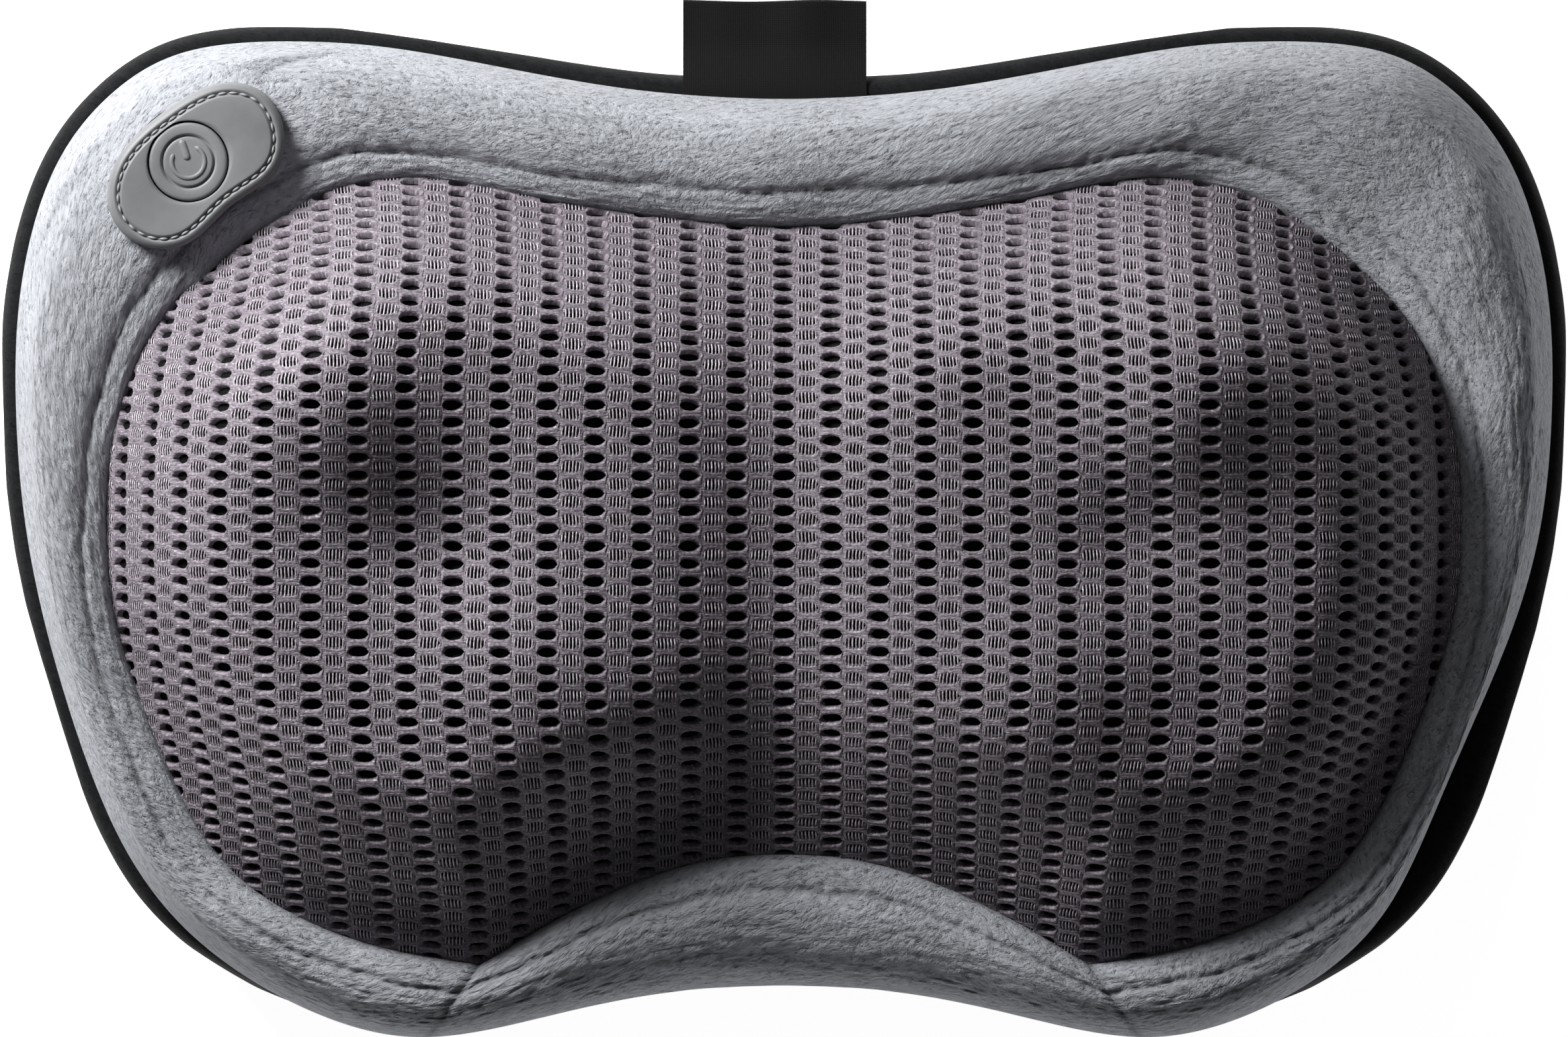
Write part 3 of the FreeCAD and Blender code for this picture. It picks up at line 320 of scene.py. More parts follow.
def pile_group():
    """Short pile: hairs drawn out along the nap, which swirls slowly, tufts and dark partings."""
    tree, given, result = make_group("Pile", [
        ("Vector", "NodeSocketVector", None), ("Hair", "NodeSocketFloat", 0.0004),
        ("Swirl", "NodeSocketFloat", 0.5),
    ], ["Hairs", "Tufts", "Partings", "Height"])
    slow = noise(tree, given.outputs["Vector"], 32.0, 2.0)
    turned = vector_maths(tree, "SUBTRACT", slow.outputs["Color"], (0.5, 0.5, 0.5))
    swirl = add(tree, "ShaderNodeVectorMath", {0: turned}, operation="SCALE")
    tree.links.new(maths(tree, "MULTIPLY", given.outputs["Swirl"], 0.02), swirl.inputs["Scale"])
    place_at = vector_maths(tree, "ADD", given.outputs["Vector"], swirl.outputs[0])
    leaning = add(tree, "ShaderNodeVectorRotate", {"Vector": place_at, "Angle": math.radians(25)},
                  rotation_type="Z_AXIS").outputs[0]
    drawn = vector_maths(tree, "MULTIPLY", leaning, (0.38, 1.0, 1.0))
    fine = noise(tree, drawn, 1.0, 4.0, 0.65)
    tree.links.new(maths(tree, "DIVIDE", 0.7, given.outputs["Hair"]), fine.inputs["Scale"])
    tufts = noise(tree, vector_maths(tree, "MULTIPLY", leaning, (0.7, 1.0, 1.0)), 620.0, 4.0, 0.62)
    parting = noise(tree, vector_maths(tree, "MULTIPLY", leaning, (0.55, 1.0, 1.0)), 950.0, 3.0, 0.7)
    partings = ranged(tree, parting.outputs["Fac"], 0.33, 0.44, 1.0, 0.0)
    height = maths(tree, "ADD", maths(tree, "MULTIPLY", fine.outputs["Fac"], 0.55),
                   maths(tree, "MULTIPLY", tufts.outputs["Fac"], 0.9))
    tree.links.new(fine.outputs["Fac"], result.inputs["Hairs"])
    tree.links.new(tufts.outputs["Fac"], result.inputs["Tufts"])
    tree.links.new(partings, result.inputs["Partings"])
    tree.links.new(maths(tree, "SUBTRACT", height, maths(tree, "MULTIPLY", partings, 0.25)),
                   result.inputs["Height"])
    return tree


def grain_group():
    """Moulding grain: soft patches of stain or dust, and a fine height."""
    tree, given, result = make_group("Grain", [
        ("Vector", "NodeSocketVector", None), ("Size", "NodeSocketFloat", 0.0006),
    ], ["Patches", "Height"])
    fine = noise(tree, given.outputs["Vector"], 1.0, 3.0, 0.6)
    tree.links.new(maths(tree, "DIVIDE", 1.0, given.outputs["Size"]), fine.inputs["Scale"])
    slow = noise(tree, given.outputs["Vector"], 45.0, 4.0, 0.6)
    tree.links.new(slow.outputs["Fac"], result.inputs["Patches"])
    tree.links.new(fine.outputs["Fac"], result.inputs["Height"])
    return tree


def weave_group():
    """Plain weave from two sets of threads: crests where a warp or a weft thread is on top."""
    tree, given, result = make_group("Weave", [
        ("Vector", "NodeSocketVector", None), ("Pitch", "NodeSocketFloat", 0.0005),
    ], ["Threads", "Height"])
    split = add(tree, "ShaderNodeSeparateXYZ", {0: given.outputs["Vector"]})
    turns = maths(tree, "DIVIDE", math.pi, given.outputs["Pitch"])
    u = maths(tree, "SINE", maths(tree, "MULTIPLY", split.outputs[0], turns))
    v = maths(tree, "SINE", maths(tree, "MULTIPLY", split.outputs[1], turns))
    crossing = maths(tree, "MULTIPLY", u, v)
    over = ranged(tree, crossing, -0.6, 0.6)
    warp = maths(tree, "ABSOLUTE", u)
    weft = maths(tree, "ABSOLUTE", v)
    top = add(tree, "ShaderNodeMix", {0: over, 2: warp, 3: weft}, data_type="FLOAT")
    tree.links.new(top.outputs[0], result.inputs["Threads"])
    tree.links.new(top.outputs[0], result.inputs["Height"])
    return tree


PILE, GRAIN, WEAVE = pile_group(), grain_group(), weave_group()


def new_material(name, **constants):
    """A material whose Principled shader has its constants set; returns it with its tree."""
    material = bpy.data.materials.new(name)
    material.use_nodes = True
    tree = material.node_tree
    shader = tree.nodes["Principled BSDF"]
    for key, value in constants.items():
        shader.inputs[key.replace("_", " ").title().replace("Ior", "IOR")].default_value = value
    return material, tree, shader


def surface_uv(tree):
    return add(tree, "ShaderNodeUVMap", uv_map="UVMap").outputs[0]


def object_place(tree):
    return add(tree, "ShaderNodeTexCoord").outputs["Object"]


def bump(tree, height, distance, strength=1.0):
    return add(tree, "ShaderNodeBump", {
        "Height": height, "Distance": distance, "Strength": strength,
    }).outputs[0]


def pile_material(name, deep, tip, hair, swirl, depth, partings=0.35, uv_and_seam_shade=False, sheen=0.08):
    """Short pile: hairs and tufts and dark partings. With the flag set it reads the uv map and adds painted shade:
    deeper colour down in the stitch row, the mitre joins and the rim by the mesh.
    """
    material, tree, shader = new_material(name, roughness=0.92, sheen_weight=sheen, sheen_roughness=0.5)
    shader.inputs["Specular IOR Level"].default_value = 0.12
    pile = add(tree, "ShaderNodeGroup", node_tree=PILE)
    tree.links.new(surface_uv(tree) if uv_and_seam_shade else object_place(tree), pile.inputs["Vector"])
    pile.inputs["Hair"].default_value = hair
    pile.inputs["Swirl"].default_value = swirl
    hairs = ranged(tree, pile.outputs["Hairs"], 0.32, 0.68)
    tufts = ranged(tree, pile.outputs["Tufts"], 0.3, 0.7)
    share = maths(tree, "ADD", maths(tree, "MULTIPLY", hairs, 0.5), maths(tree, "MULTIPLY", tufts, 0.5))
    colour = mix_colour(tree, share, deep, tip)
    dark = tuple(channel * 0.45 for channel in deep)
    colour = mix_colour(tree, maths(tree, "MULTIPLY", pile.outputs["Partings"], partings), colour, dark)
    # painted shade: the "seam" attribute darkens the pile in its sewn grooves and at the rim by the mesh
    if uv_and_seam_shade:
        sewn = add(tree, "ShaderNodeAttribute", attribute_name="seam").outputs["Fac"]
        colour = mix_colour(tree, maths(tree, "MULTIPLY", sewn, 0.75), colour, tuple(c * 0.2 for c in deep))
    tree.links.new(colour, shader.inputs["Base Color"])
    tree.links.new(bump(tree, pile.outputs["Height"], depth), shader.inputs["Normal"])
    return material


def moulded_material(name, colour, roughness=0.5, grain=0.0006, depth=0.00002, metallic=0.0):
    """Moulded plastic, rubber or metal with grain, faint stains and varied gloss."""
    material, tree, shader = new_material(name, metallic=metallic)
    group = add(tree, "ShaderNodeGroup", node_tree=GRAIN)
    tree.links.new(object_place(tree), group.inputs["Vector"])
    group.inputs["Size"].default_value = grain
    deep = tuple(channel * 0.8 for channel in colour)
    light = tuple(min(1.0, channel * 1.12 + 0.004) for channel in colour)
    share = ranged(tree, group.outputs["Patches"], 0.3, 0.7)
    tree.links.new(mix_colour(tree, share, deep, light), shader.inputs["Base Color"])
    rough = ranged(tree, group.outputs["Patches"], 0.3, 0.7, roughness - 0.07, roughness + 0.07)
    tree.links.new(rough, shader.inputs["Roughness"])
    tree.links.new(bump(tree, group.outputs["Height"], depth), shader.inputs["Normal"])
    return material


def woven_material(name, deep, light, pitch, depth):
    material, tree, shader = new_material(name, roughness=0.6)
    shader.inputs["Specular IOR Level"].default_value = 0.06
    weave = add(tree, "ShaderNodeGroup", node_tree=WEAVE)
    tree.links.new(object_place(tree), weave.inputs["Vector"])
    weave.inputs["Pitch"].default_value = pitch
    tree.links.new(mix_colour(tree, weave.outputs["Threads"], deep, light), shader.inputs["Base Color"])
    tree.links.new(bump(tree, weave.outputs["Height"], depth), shader.inputs["Normal"])
    return material


def yarn_material(name, deep, light, painted_glint, roughness):
    """Knitted multifilament: fine filaments drawn along the strand, with a painted highlight on some of them."""
    material, tree, shader = new_material(name, roughness=roughness, sheen_weight=0.08)
    at = surface_uv(tree)
    filaments = noise(tree, vector_maths(tree, "MULTIPLY", at, (0.3, 1.0, 1.0)), 3600.0, 3.0, 0.6, 0.4)
    knots = noise(tree, at, 1500.0, 2.0, 0.5)
    share = ranged(tree, maths(tree, "ADD", filaments.outputs["Fac"], knots.outputs["Fac"]), 0.72, 1.28)
    # painted highlight: the last colour laid on the filaments that stand highest
    painted_glint_share = ranged(tree, filaments.outputs["Fac"], 0.6, 0.75)
    colour = mix_colour(tree, share, deep, light)
    tree.links.new(mix_colour(tree, painted_glint_share, colour, painted_glint), shader.inputs["Base Color"])
    tree.links.new(bump(tree, filaments.outputs["Fac"], 0.00025), shader.inputs["Normal"])
    return material


# the plush's own grey; the flag below adds painted shade in its stitch row, mitre joins and rim by the mesh
GREY_PLUSH = pile_material("grey_plush", (0.25, 0.258, 0.278), (0.43, 0.443, 0.478), 0.0005, 0.6, 0.0009,
                           partings=0.55, uv_and_seam_shade=True)
BLACK_VELOUR = pile_material("black_velour", (0.0035, 0.0038, 0.004), (0.014, 0.015, 0.016), 0.00035, 0.4,
                             0.0003, sheen=0.03)
# each yarn's last colour is a painted highlight on its filaments
AIR_MESH = yarn_material("air_mesh", (0.07, 0.06, 0.07), (0.3, 0.257, 0.302), (0.68, 0.64, 0.68), 0.5)
# the ladder strands: the net's yarn in a lighter copy with lower roughness, the lighter colours a painted
# highlight for their glints
LADDER_YARN_PAINTED_HIGHLIGHT = yarn_material("ladder_yarn_painted_highlight", (0.2, 0.17, 0.2), (0.6, 0.55, 0.6), (0.95, 0.92, 0.95), 0.3)
LINER_CLOTH = woven_material("liner_cloth", (0.002, 0.002, 0.002), (0.008, 0.0075, 0.008), 0.0006, 0.0001)
PAD_RUBBER = moulded_material("pad_rubber", (0.165, 0.17, 0.175), 0.5, 0.0004, 0.00003)
STITCH_THREAD = moulded_material("stitch_thread", (0.26, 0.27, 0.28), 0.6, 0.0002, 0.00004)
LABEL_SATIN = woven_material("label_satin", (0.003, 0.003, 0.0032), (0.012, 0.012, 0.0125), 0.0004, 0.00006)


def paint(piece, material):
    piece.data.materials.clear()
    piece.data.materials.append(material)
    return piece


# ---- shared shape helpers -------------------------------------------------------------------
def rings(outer, inner, shares, heights, normal=None, insets=None):
    """Points of rings carried from an outer loop to an inner one: ring k lies shares[k] of the
    way inwards, at heights[k], moved insets[k] along the outer loop's normal."""
    shares = np.asarray(shares, float)[None, :, None]
    flat = outer[:, None] * (1 - shares) + inner[:, None] * shares
    if insets is not None:
        flat = flat + normal[:, None] * insets[..., None]
    tall = np.broadcast_to(np.asarray(heights, float), flat.shape[:2])
    return np.dstack([flat, tall])


def nearest(points, loop):
    """Distance from each point to the nearest of a loop's points."""
    gap = np.full(len(points), np.inf)
    for start in range(0, len(loop), 64):
        part = loop[start:start + 64]
        away = np.linalg.norm(points[:, None] - part[None], axis=2).min(1)
        gap = np.minimum(gap, away)
    return gap


def inside(points, loop):
    """True for points inside a closed loop, by counting the edges that a ray along +X crosses."""
    after = np.roll(loop, -1, 0)
    x, y = points[:, 0, None], points[:, 1, None]
    spans = (loop[None, :, 1] > y) != (after[None, :, 1] > y)
    rise = np.where(after[:, 1] == loop[:, 1], 1e-9, after[:, 1] - loop[:, 1])
    crossing = loop[None, :, 0] + (y - loop[None, :, 1]) / rise * (after - loop)[None, :, 0]
    return (spans & (x < crossing)).sum(1) % 2 == 1


def read_table(table, x, y, start, step):
    """A table over x (rows) and y (columns) read between its entries."""
    i = np.clip((x - start[0]) / step, 0, table.shape[0] - 1.001)
    j = np.clip((y - start[1]) / step, 0, table.shape[1] - 1.001)
    i0, j0 = i.astype(int), j.astype(int)
    di, dj = i - i0, j - j0
    near = table[i0, j0] * (1 - dj) + table[i0, j0 + 1] * dj
    far = table[i0 + 1, j0] * (1 - dj) + table[i0 + 1, j0 + 1] * dj
    return near * (1 - di) + far * di


def tube(path, radius, sides=6, flatten=1.0):
    """A round or flattened tube: circles of the given radii along a path, and its quads."""
    along = np.gradient(path, axis=0)
    along /= np.linalg.norm(along, axis=1)[:, None]
    side = np.cross(along, (0.0, 0.0, 1.0))
    side /= np.maximum(np.linalg.norm(side, axis=1), 1e-9)[:, None]
    top = np.cross(side, along)
    turn = np.arange(sides) * 2 * math.pi / sides
    radius = np.broadcast_to(np.asarray(radius, float), len(path))[:, None, None]
    over, up = np.cos(turn)[None, :, None], np.sin(turn)[None, :, None] * flatten
    points = path[:, None] + (side[:, None] * over + top[:, None] * up) * radius
    faces = grid_faces(len(path), sides, close_columns=True)
    return points.reshape(-1, 3), faces[:, ::-1]


def joined(parts):
    """Several (points, faces) made one."""
    points = np.vstack([p for p, _ in parts])
    starts = np.cumsum([0] + [len(p) for p, _ in parts[:-1]])
    return points, np.vstack([f + s for (_, f), s in zip(parts, starts)])


def with_attribute(piece, name, values):
    layer = piece.data.attributes.new(name, "FLOAT", "POINT")
    layer.data.foreach_set("value", np.asarray(values, np.float32).ravel())
    return piece


# ---- the massage heads' places, which the mesh is stretched over ------------------------------
HEAD_JOINT = next(j for j in frame["joints"] if j["name"] == "right_head_turn")
HEAD_X, HEAD_Y = (value / MM for value in HEAD_JOINT["pos_m"][:2])
HEAD_R = 37.0                   # from a head's axis to the middle of its nodes
HEAD_ANGLE = math.radians(60)   # of the outer node at rest
NODE_X, NODE_Y = HEAD_R * math.cos(HEAD_ANGLE), HEAD_R * math.sin(HEAD_ANGLE)
NODES = [(side * (HEAD_X + way * NODE_X), HEAD_Y + way * NODE_Y) for side in (1, -1) for way in (1, -1)]

# ---- mesh face --------------------------------------------------------------------------------
FACE_START = np.array([-156.0, -106.0])
FACE_END = np.array([156.0, 80.0])
FACE_STEP = 2.0
PLATEAU = 30.0                  # of the mesh over its edge where it lies on the heads
BUMP = 12.0                     # more over each upper node at rest
LOW_BUMP = 6.5                  # and over each lower one
BUMP_R = 22.0                   # how wide a bump spreads
BUMP_SHIFT = -6.0               # of the upper bumps from their nodes along x, set
LOWER_FALL = 5.0                # less along the lower edge than along the upper one, set
VALLEY, VALLEY_R = 9.0, 20.0    # less between the two heads
DISH, DISH_R = 4.0, 15.0        # less over each head's axis


def blurred(table):
    """Each entry averaged with its four neighbours."""
    sides = [np.roll(table, step, axis) for axis in (0, 1) for step in (1, -1)]
    return (table + sum(sides)) / 5


def face_tables():
    """Height of the mesh, and lengths of cloth from its middle along x and along y, as tables.

    The cloth climbs from its edge within a band 33 mm wide beside the heads and wider elsewhere,
    as 1 - (1 - t)^1.9 of the distance t across the band, and is pushed up over each node.
    """
    xs = np.arange(FACE_START[0], FACE_END[0] + 1, FACE_STEP)
    ys = np.arange(FACE_START[1], FACE_END[1] + 1, FACE_STEP)
    x, y = np.meshgrid(xs, ys, indexing="ij")
    at = np.column_stack([x.ravel(), y.ravel()])
    loop = panel_edge(np.arange(0, TURNS, 0.05))
    away = nearest(at, loop)
    within = inside(at, loop)
    away = np.where(within, away, -away).reshape(x.shape)
    band = 33 + 17 * np.exp(-(x / 34) ** 2) + 12 * smooth(-40, -75, y)
    t = np.clip(away / band, 0, 1)
    climb = 1 - (1 - t) ** 1.9
    plateau = PLATEAU - VALLEY * np.exp(-(x / VALLEY_R) ** 2) - LOWER_FALL * smooth(10, -80, y)
    dome = EDGE_Z + PLATEAU * climb + np.minimum(away, 0) * 1.1
    for side in (1, -1):
        plateau = plateau - DISH * np.exp(-((x - side * HEAD_X) ** 2 + (y - HEAD_Y) ** 2) / DISH_R**2)
    for node_x, node_y in NODES:
        tall = BUMP if node_y > HEAD_Y else LOW_BUMP
        centre = node_x + BUMP_SHIFT * (node_y > HEAD_Y)
        plateau = plateau + tall * np.exp(-((x - centre) ** 2 + (y - node_y) ** 2) / BUMP_R**2)
    height = EDGE_Z + plateau * climb + np.minimum(away, 0) * 1.1
    for _ in range(2):
        height = blurred(height)
    for _ in range(12):
        dome = blurred(dome)
    slope_x, slope_y = np.gradient(dome, FACE_STEP)
    length_x = np.cumsum(np.sqrt(1 + slope_x**2), 0) * FACE_STEP
    length_y = np.cumsum(np.sqrt(1 + slope_y**2), 1) * FACE_STEP
    middle_x = int(-FACE_START[0] / FACE_STEP)
    middle_y = int((HEAD_Y - FACE_START[1]) / FACE_STEP)
    length_x -= length_x[middle_x:middle_x + 1]
    length_y -= length_y[:, middle_y:middle_y + 1]
    return height, away, length_x, length_y


HEIGHT, AWAY, LENGTH_X, LENGTH_Y = face_tables()


def on_face(table, x, y):
    return read_table(table, x, y, FACE_START, FACE_STEP)


def lay_cloth(a, b):
    """Where cloth points (a, b) lie, so that the cloth isn't stretched along either thread."""
    x, y = a.copy(), b + HEAD_Y
    for _ in range(40):
        x = x + 0.6 * (a - on_face(LENGTH_X, x, y))
        y = y + 0.6 * (b - on_face(LENGTH_Y, x, y))
        x = np.clip(x, FACE_START[0], FACE_END[0])
        y = np.clip(y, FACE_START[1], FACE_END[1])
    return x, y


def face_normals(x, y):
    step = 1.0
    slope_x = (on_face(HEIGHT, x + step, y) - on_face(HEIGHT, x - step, y)) / (2 * step)
    slope_y = (on_face(HEIGHT, x, y + step) - on_face(HEIGHT, x, y - step)) / (2 * step)
    normal = np.stack([-slope_x, -slope_y, np.ones_like(slope_x)], -1)
    return normal / np.linalg.norm(normal, axis=-1, keepdims=True)


def lifted(a, b, lift):
    """Cloth points raised by lift along the face's normal."""
    x, y = lay_cloth(a, b)
    base = np.stack([x, y, on_face(HEIGHT, x, y)], -1)
    return base + face_normals(x, y) * np.asarray(lift)[..., None], x, y


PITCH_A, PITCH_B = 10.2, 3.8    # between holes across the cloth and along it
HOLE_A, HOLE_B = 2.48, 1.2      # half sizes of an open hole
LADDER_A, LADDER_B = 2.3, 1.15   # half sizes of a laddered one
CLOTH_REACH_A, CLOTH_REACH_B = 200.0, 130.0
EDGE_TUCK = 2.5                 # of cloth under the plush


def cell_centres(offset):
    """Centres of the cloth's cells whose middles lie inside the edge or just under the plush."""
    columns = np.arange(-round(CLOTH_REACH_A / PITCH_A), round(CLOTH_REACH_A / PITCH_A) + 1) + offset
    rows = np.arange(-round(CLOTH_REACH_B / PITCH_B), round(CLOTH_REACH_B / PITCH_B) + 1) + offset
    a, b = (grid.ravel() for grid in np.meshgrid(columns * PITCH_A, rows * PITCH_B, indexing="ij"))
    x, y = lay_cloth(a, b)
    near = (on_face(AWAY, x, y) > -EDGE_TUCK) & (np.abs(x) < FACE_END[0] - 1)
    return a[near], b[near]


def cell_outline():
    """Twelve points round a cell: its corners, the middles of its sides and three along each end."""
    right, top = PITCH_A / 4, PITCH_B / 2
    half = [(right, 0), (right, top), (right / 2, top), (0, top), (-right / 2, top), (-right, top)]
    return np.array(half + [(-x, -y) for x, y in half])


def cell_rings(hole_a, hole_b, depth):
    """(a, b, lift) of four rings from a cell's outline over the yarn's crest into its hole.

    The hole is an ellipse with drawn-out tips: its half height falls by a fifth towards them.
    """
    outline = cell_outline()
    turn = np.arctan2(outline[:, 1] / PITCH_B, outline[:, 0] / PITCH_A * 2)
    rise = np.sin(turn)
    hole = np.column_stack([np.cos(turn) * hole_a, rise * hole_b * (0.8 + 0.2 * np.abs(rise))])
    crest = outline * 0.45 + hole * 0.55
    end = (np.abs(outline[:, 0]) < PITCH_A / 4 - 0.01)
    flat = np.stack([outline, crest, hole, hole * 0.9])
    lift = np.stack([np.where(end, 0.3, 0.2), np.full(len(outline), 0.42),
                     np.full(len(outline), 0.1), np.full(len(outline), -depth)])
    return flat, lift


def lattice(offset, hole_a, hole_b, depth):
    """The knitted net: every cell's four rings, as points, quads and uv along the yarn."""
    a, b = cell_centres(offset)
    flat, lift = cell_rings(hole_a, hole_b, depth)
    count, around = flat.shape[:2]
    cell_a = a[:, None, None] + flat[None, ..., 0]
    cell_b = b[:, None, None] + flat[None, ..., 1]
    wander = 0.12 * np.sin(cell_a * 0.31 + cell_b * 0.9) + 0.1 * np.sin(cell_a * 1.1 - cell_b * 0.37)
    points, x, y = lifted(cell_a + wander, cell_b + 0.5 * wander, np.broadcast_to(lift, cell_a.shape))
    quads = grid_faces(count, around, close_columns=True)
    faces = (quads[None] + (np.arange(len(a)) * count * around)[:, None, None]).reshape(-1, 4)
    uv = np.stack([cell_a, cell_b], -1).reshape(-1, 2) * MM
    return points.reshape(-1, 3), faces[:, ::-1], uv


def ladder_threads():
    """Six short strands across each laddered hole, bowed up in the middle."""
    a, b = cell_centres(0.5)
    across = np.array([-1.92, -1.17, -0.38, 0.4, 1.14, 1.9])
    half = LADDER_B * np.sqrt(1 - (across / (LADDER_A + 0.35)) ** 2) + 0.35
    along = np.array([-1.0, 0.0, 1.0])
    bow = np.array([0.12, 0.42, 0.12])
    turn = np.arange(4) * math.pi / 2
    ring_a, ring_up = 0.19 * np.cos(turn), 0.19 * np.sin(turn)
    cell_a = a[:, None, None, None] + across[None, :, None, None] + ring_a
    lean = 0.12 * np.sin(a * 12.9898 + b * 4.1)[:, None, None, None] * along[None, None, :, None]
    cell_b = b[:, None, None, None] + (half[:, None] * along)[None, :, :, None]
    cell_a, cell_b = np.broadcast_arrays(cell_a + lean, cell_b)
    lift = np.broadcast_to(bow[:, None] + ring_up, cell_a.shape)
    points, _, _ = lifted(cell_a, cell_b, lift)
    quads = grid_faces(3, 4, close_columns=True)
    strands = len(a) * len(across)
    faces = (quads[None] + (np.arange(strands) * 12)[:, None, None]).reshape(-1, 4)
    uv = np.stack([cell_b, cell_a], -1).reshape(-1, 2) * MM
    return points.reshape(-1, 3), faces, uv


def trimmed(points, faces, uv):
    """Drops faces that lie wholly outside the sewn edge, and the points that no face uses."""
    away = on_face(AWAY, points[:, 0], points[:, 1])
    faces = faces[(away[faces] > -EDGE_TUCK).all(1)]
    used, renumbered = np.unique(faces, return_inverse=True)
    return points[used], renumbered.reshape(faces.shape), uv[used]


def build_mesh_face():
    holes = lattice(0.0, HOLE_A, HOLE_B, 1.3)
    ladders = lattice(0.5, LADDER_A, LADDER_B, 1.2)
    points = np.vstack([holes[0], ladders[0]])
    faces = np.vstack([holes[1], ladders[1] + len(holes[0])])
    uv = np.vstack([holes[2], ladders[2]])
    points, faces, uv = trimmed(points, faces, uv)
    net = paint(new_piece("mesh_face_net", points, faces, uv), AIR_MESH)
    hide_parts("mesh_panel")
    points, faces, uv = trimmed(*ladder_threads())
    # the ladder strands in the lighter copy of the net's yarn: painted highlight
    threads = paint(new_piece("mesh_face_threads", points, faces, uv), LADDER_YARN_PAINTED_HIGHLIGHT)


LINER_GAP = 2.0                 # under the mesh


def build_liner():
    """Dark cloth under the net: the face's own height less the gap, out to its sewn edge."""
    at = np.arange(0, TURNS, 0.1)
    edge = panel_edge(at)
    middle = np.array([0.0, HEAD_Y])
    shares = np.linspace(0, 1, 46)[:-1]
    flat = edge[:, None] * (1 - shares)[None, :, None] + middle * shares[None, :, None]
    grid = np.dstack([flat, on_face(HEIGHT, flat[..., 0], flat[..., 1]) - LINER_GAP])
    top = [*middle, on_face(HEIGHT, middle[:1], middle[1:])[0] - LINER_GAP]
    liner = new_piece("inner_liner_cloth", *fan_closed(grid, top))
    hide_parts("inner_liner")
    paint(liner, LINER_CLOTH)


# ---- plush surround -------------------------------------------------------------------------
# Section of the plush roll from the black seam over the crest to the mesh: share of the way
# from the outer edge to the panel, height in millimetres, how much of the welt's inset holds.
PLUSH_SECTION = np.array([
    (0.0, SEAM_Z - 1.5, 1.1), (0.0, SEAM_Z + 3, 1.0), (0.0, 56, 0.95), (0.01, 62, 1.0), (0.05, 68.5, 1.15),
    (0.12, 73.8, 1.1), (0.24, 77.8, 0.6), (0.4, 80.0, 0.2), (0.56, 80.6, 0.0), (0.72, 79.8, 0.0),
    (0.86, 77.8, 0.0), (0.95, 75.8, 0.0), (1.0, 72.6, 0.0),
])
PUFF = 2.0                      # most that the plush swells
PLUSH_RINGS = 90
TOPSTITCH = 8.0                 # from the mesh's edge to the row of stitches
NORMAL_STEP = 0.05


def welt(at):
    """Width of black rim left outside the plush; more on the right shoulder of the lower edge."""
    low_right = 5.5 * np.exp(-((np.mod(at, TURNS) - 10.6) / 1.1) ** 2)
    top_middle = 1.0 * np.exp(-((np.mod(at + LAST, TURNS) - LAST) / 1.6) ** 2)
    return (WELT + top_middle) * (1 - along_bottom(at)) + low_right


def edge_normals(at):
    fine = inward(outer_edge(np.arange(0, TURNS, NORMAL_STEP)))
    return spline(fine, np.mod(at, TURNS) / NORMAL_STEP, closed=True)


def plush_grid(at, across):
    """Points of the plush skin: the section's share mixes the outer edge and the panel's edge."""
    section = spline(PLUSH_SECTION, across)
    inset = welt(at)[:, None] * section[:, 2][None, :]
    return rings(outer_edge(at), panel_edge(at), section[:, 0], section[:, 1], edge_normals(at), inset)


def sewn_detail(at, skin):
    """Pushes the row of topstitching and the two mitre joins into the plush; returns the skin
    and a share from 0 to 1 of painted shade: in the stitch row, along the mitre joins and at the rim by the mesh."""
    panel = panel_edge(at)
    away = np.linalg.norm(skin[..., :2] - panel[:, None], axis=2)
    turn = at * 2 * math.pi / TURNS
    wave = 0.3 * np.sin(turn * 27) + 0.2 * np.sin(turn * 68 + 1.0)
    top = skin[..., 2] > 70
    stitch = np.exp(-((away - TOPSTITCH - wave[:, None]) / 0.7) ** 2) * top
    hollow = np.exp(-((away - TOPSTITCH - wave[:, None]) / 3.0) ** 2) * top
    fading = 0.75 + 0.25 * np.sin(turn * 19 + 0.6)[:, None]
    from_corner = np.minimum(np.abs(at - CORNER), np.abs(at - (TURNS - CORNER)))
    mitre = np.exp(-(from_corner[:, None] * 25 / 1.2) ** 2) * np.ones_like(stitch)
    pucker = 1 + 0.3 * np.sin(turn * 221)[:, None]
    deep = 0.7 * stitch * pucker + 0.7 * hollow + 0.7 * mitre
    skin = skin.copy()
    skin[..., 2] -= deep * (0.35 + 0.65 * top)
    # painted shade: the share returned darkens the stitch row, the mitre joins and this rim where the plush curls
    # down to the mesh
    rim = np.exp(-(away / 1.2) ** 2) * top
    return skin, np.clip(0.7 * stitch * fading + 0.6 * mitre + 0.8 * rim, 0, 1)


SEAT_REACH = 45.0               # from the button pad's middle
KEY_HOLLOW = 3.0                # depth of the plush below the key


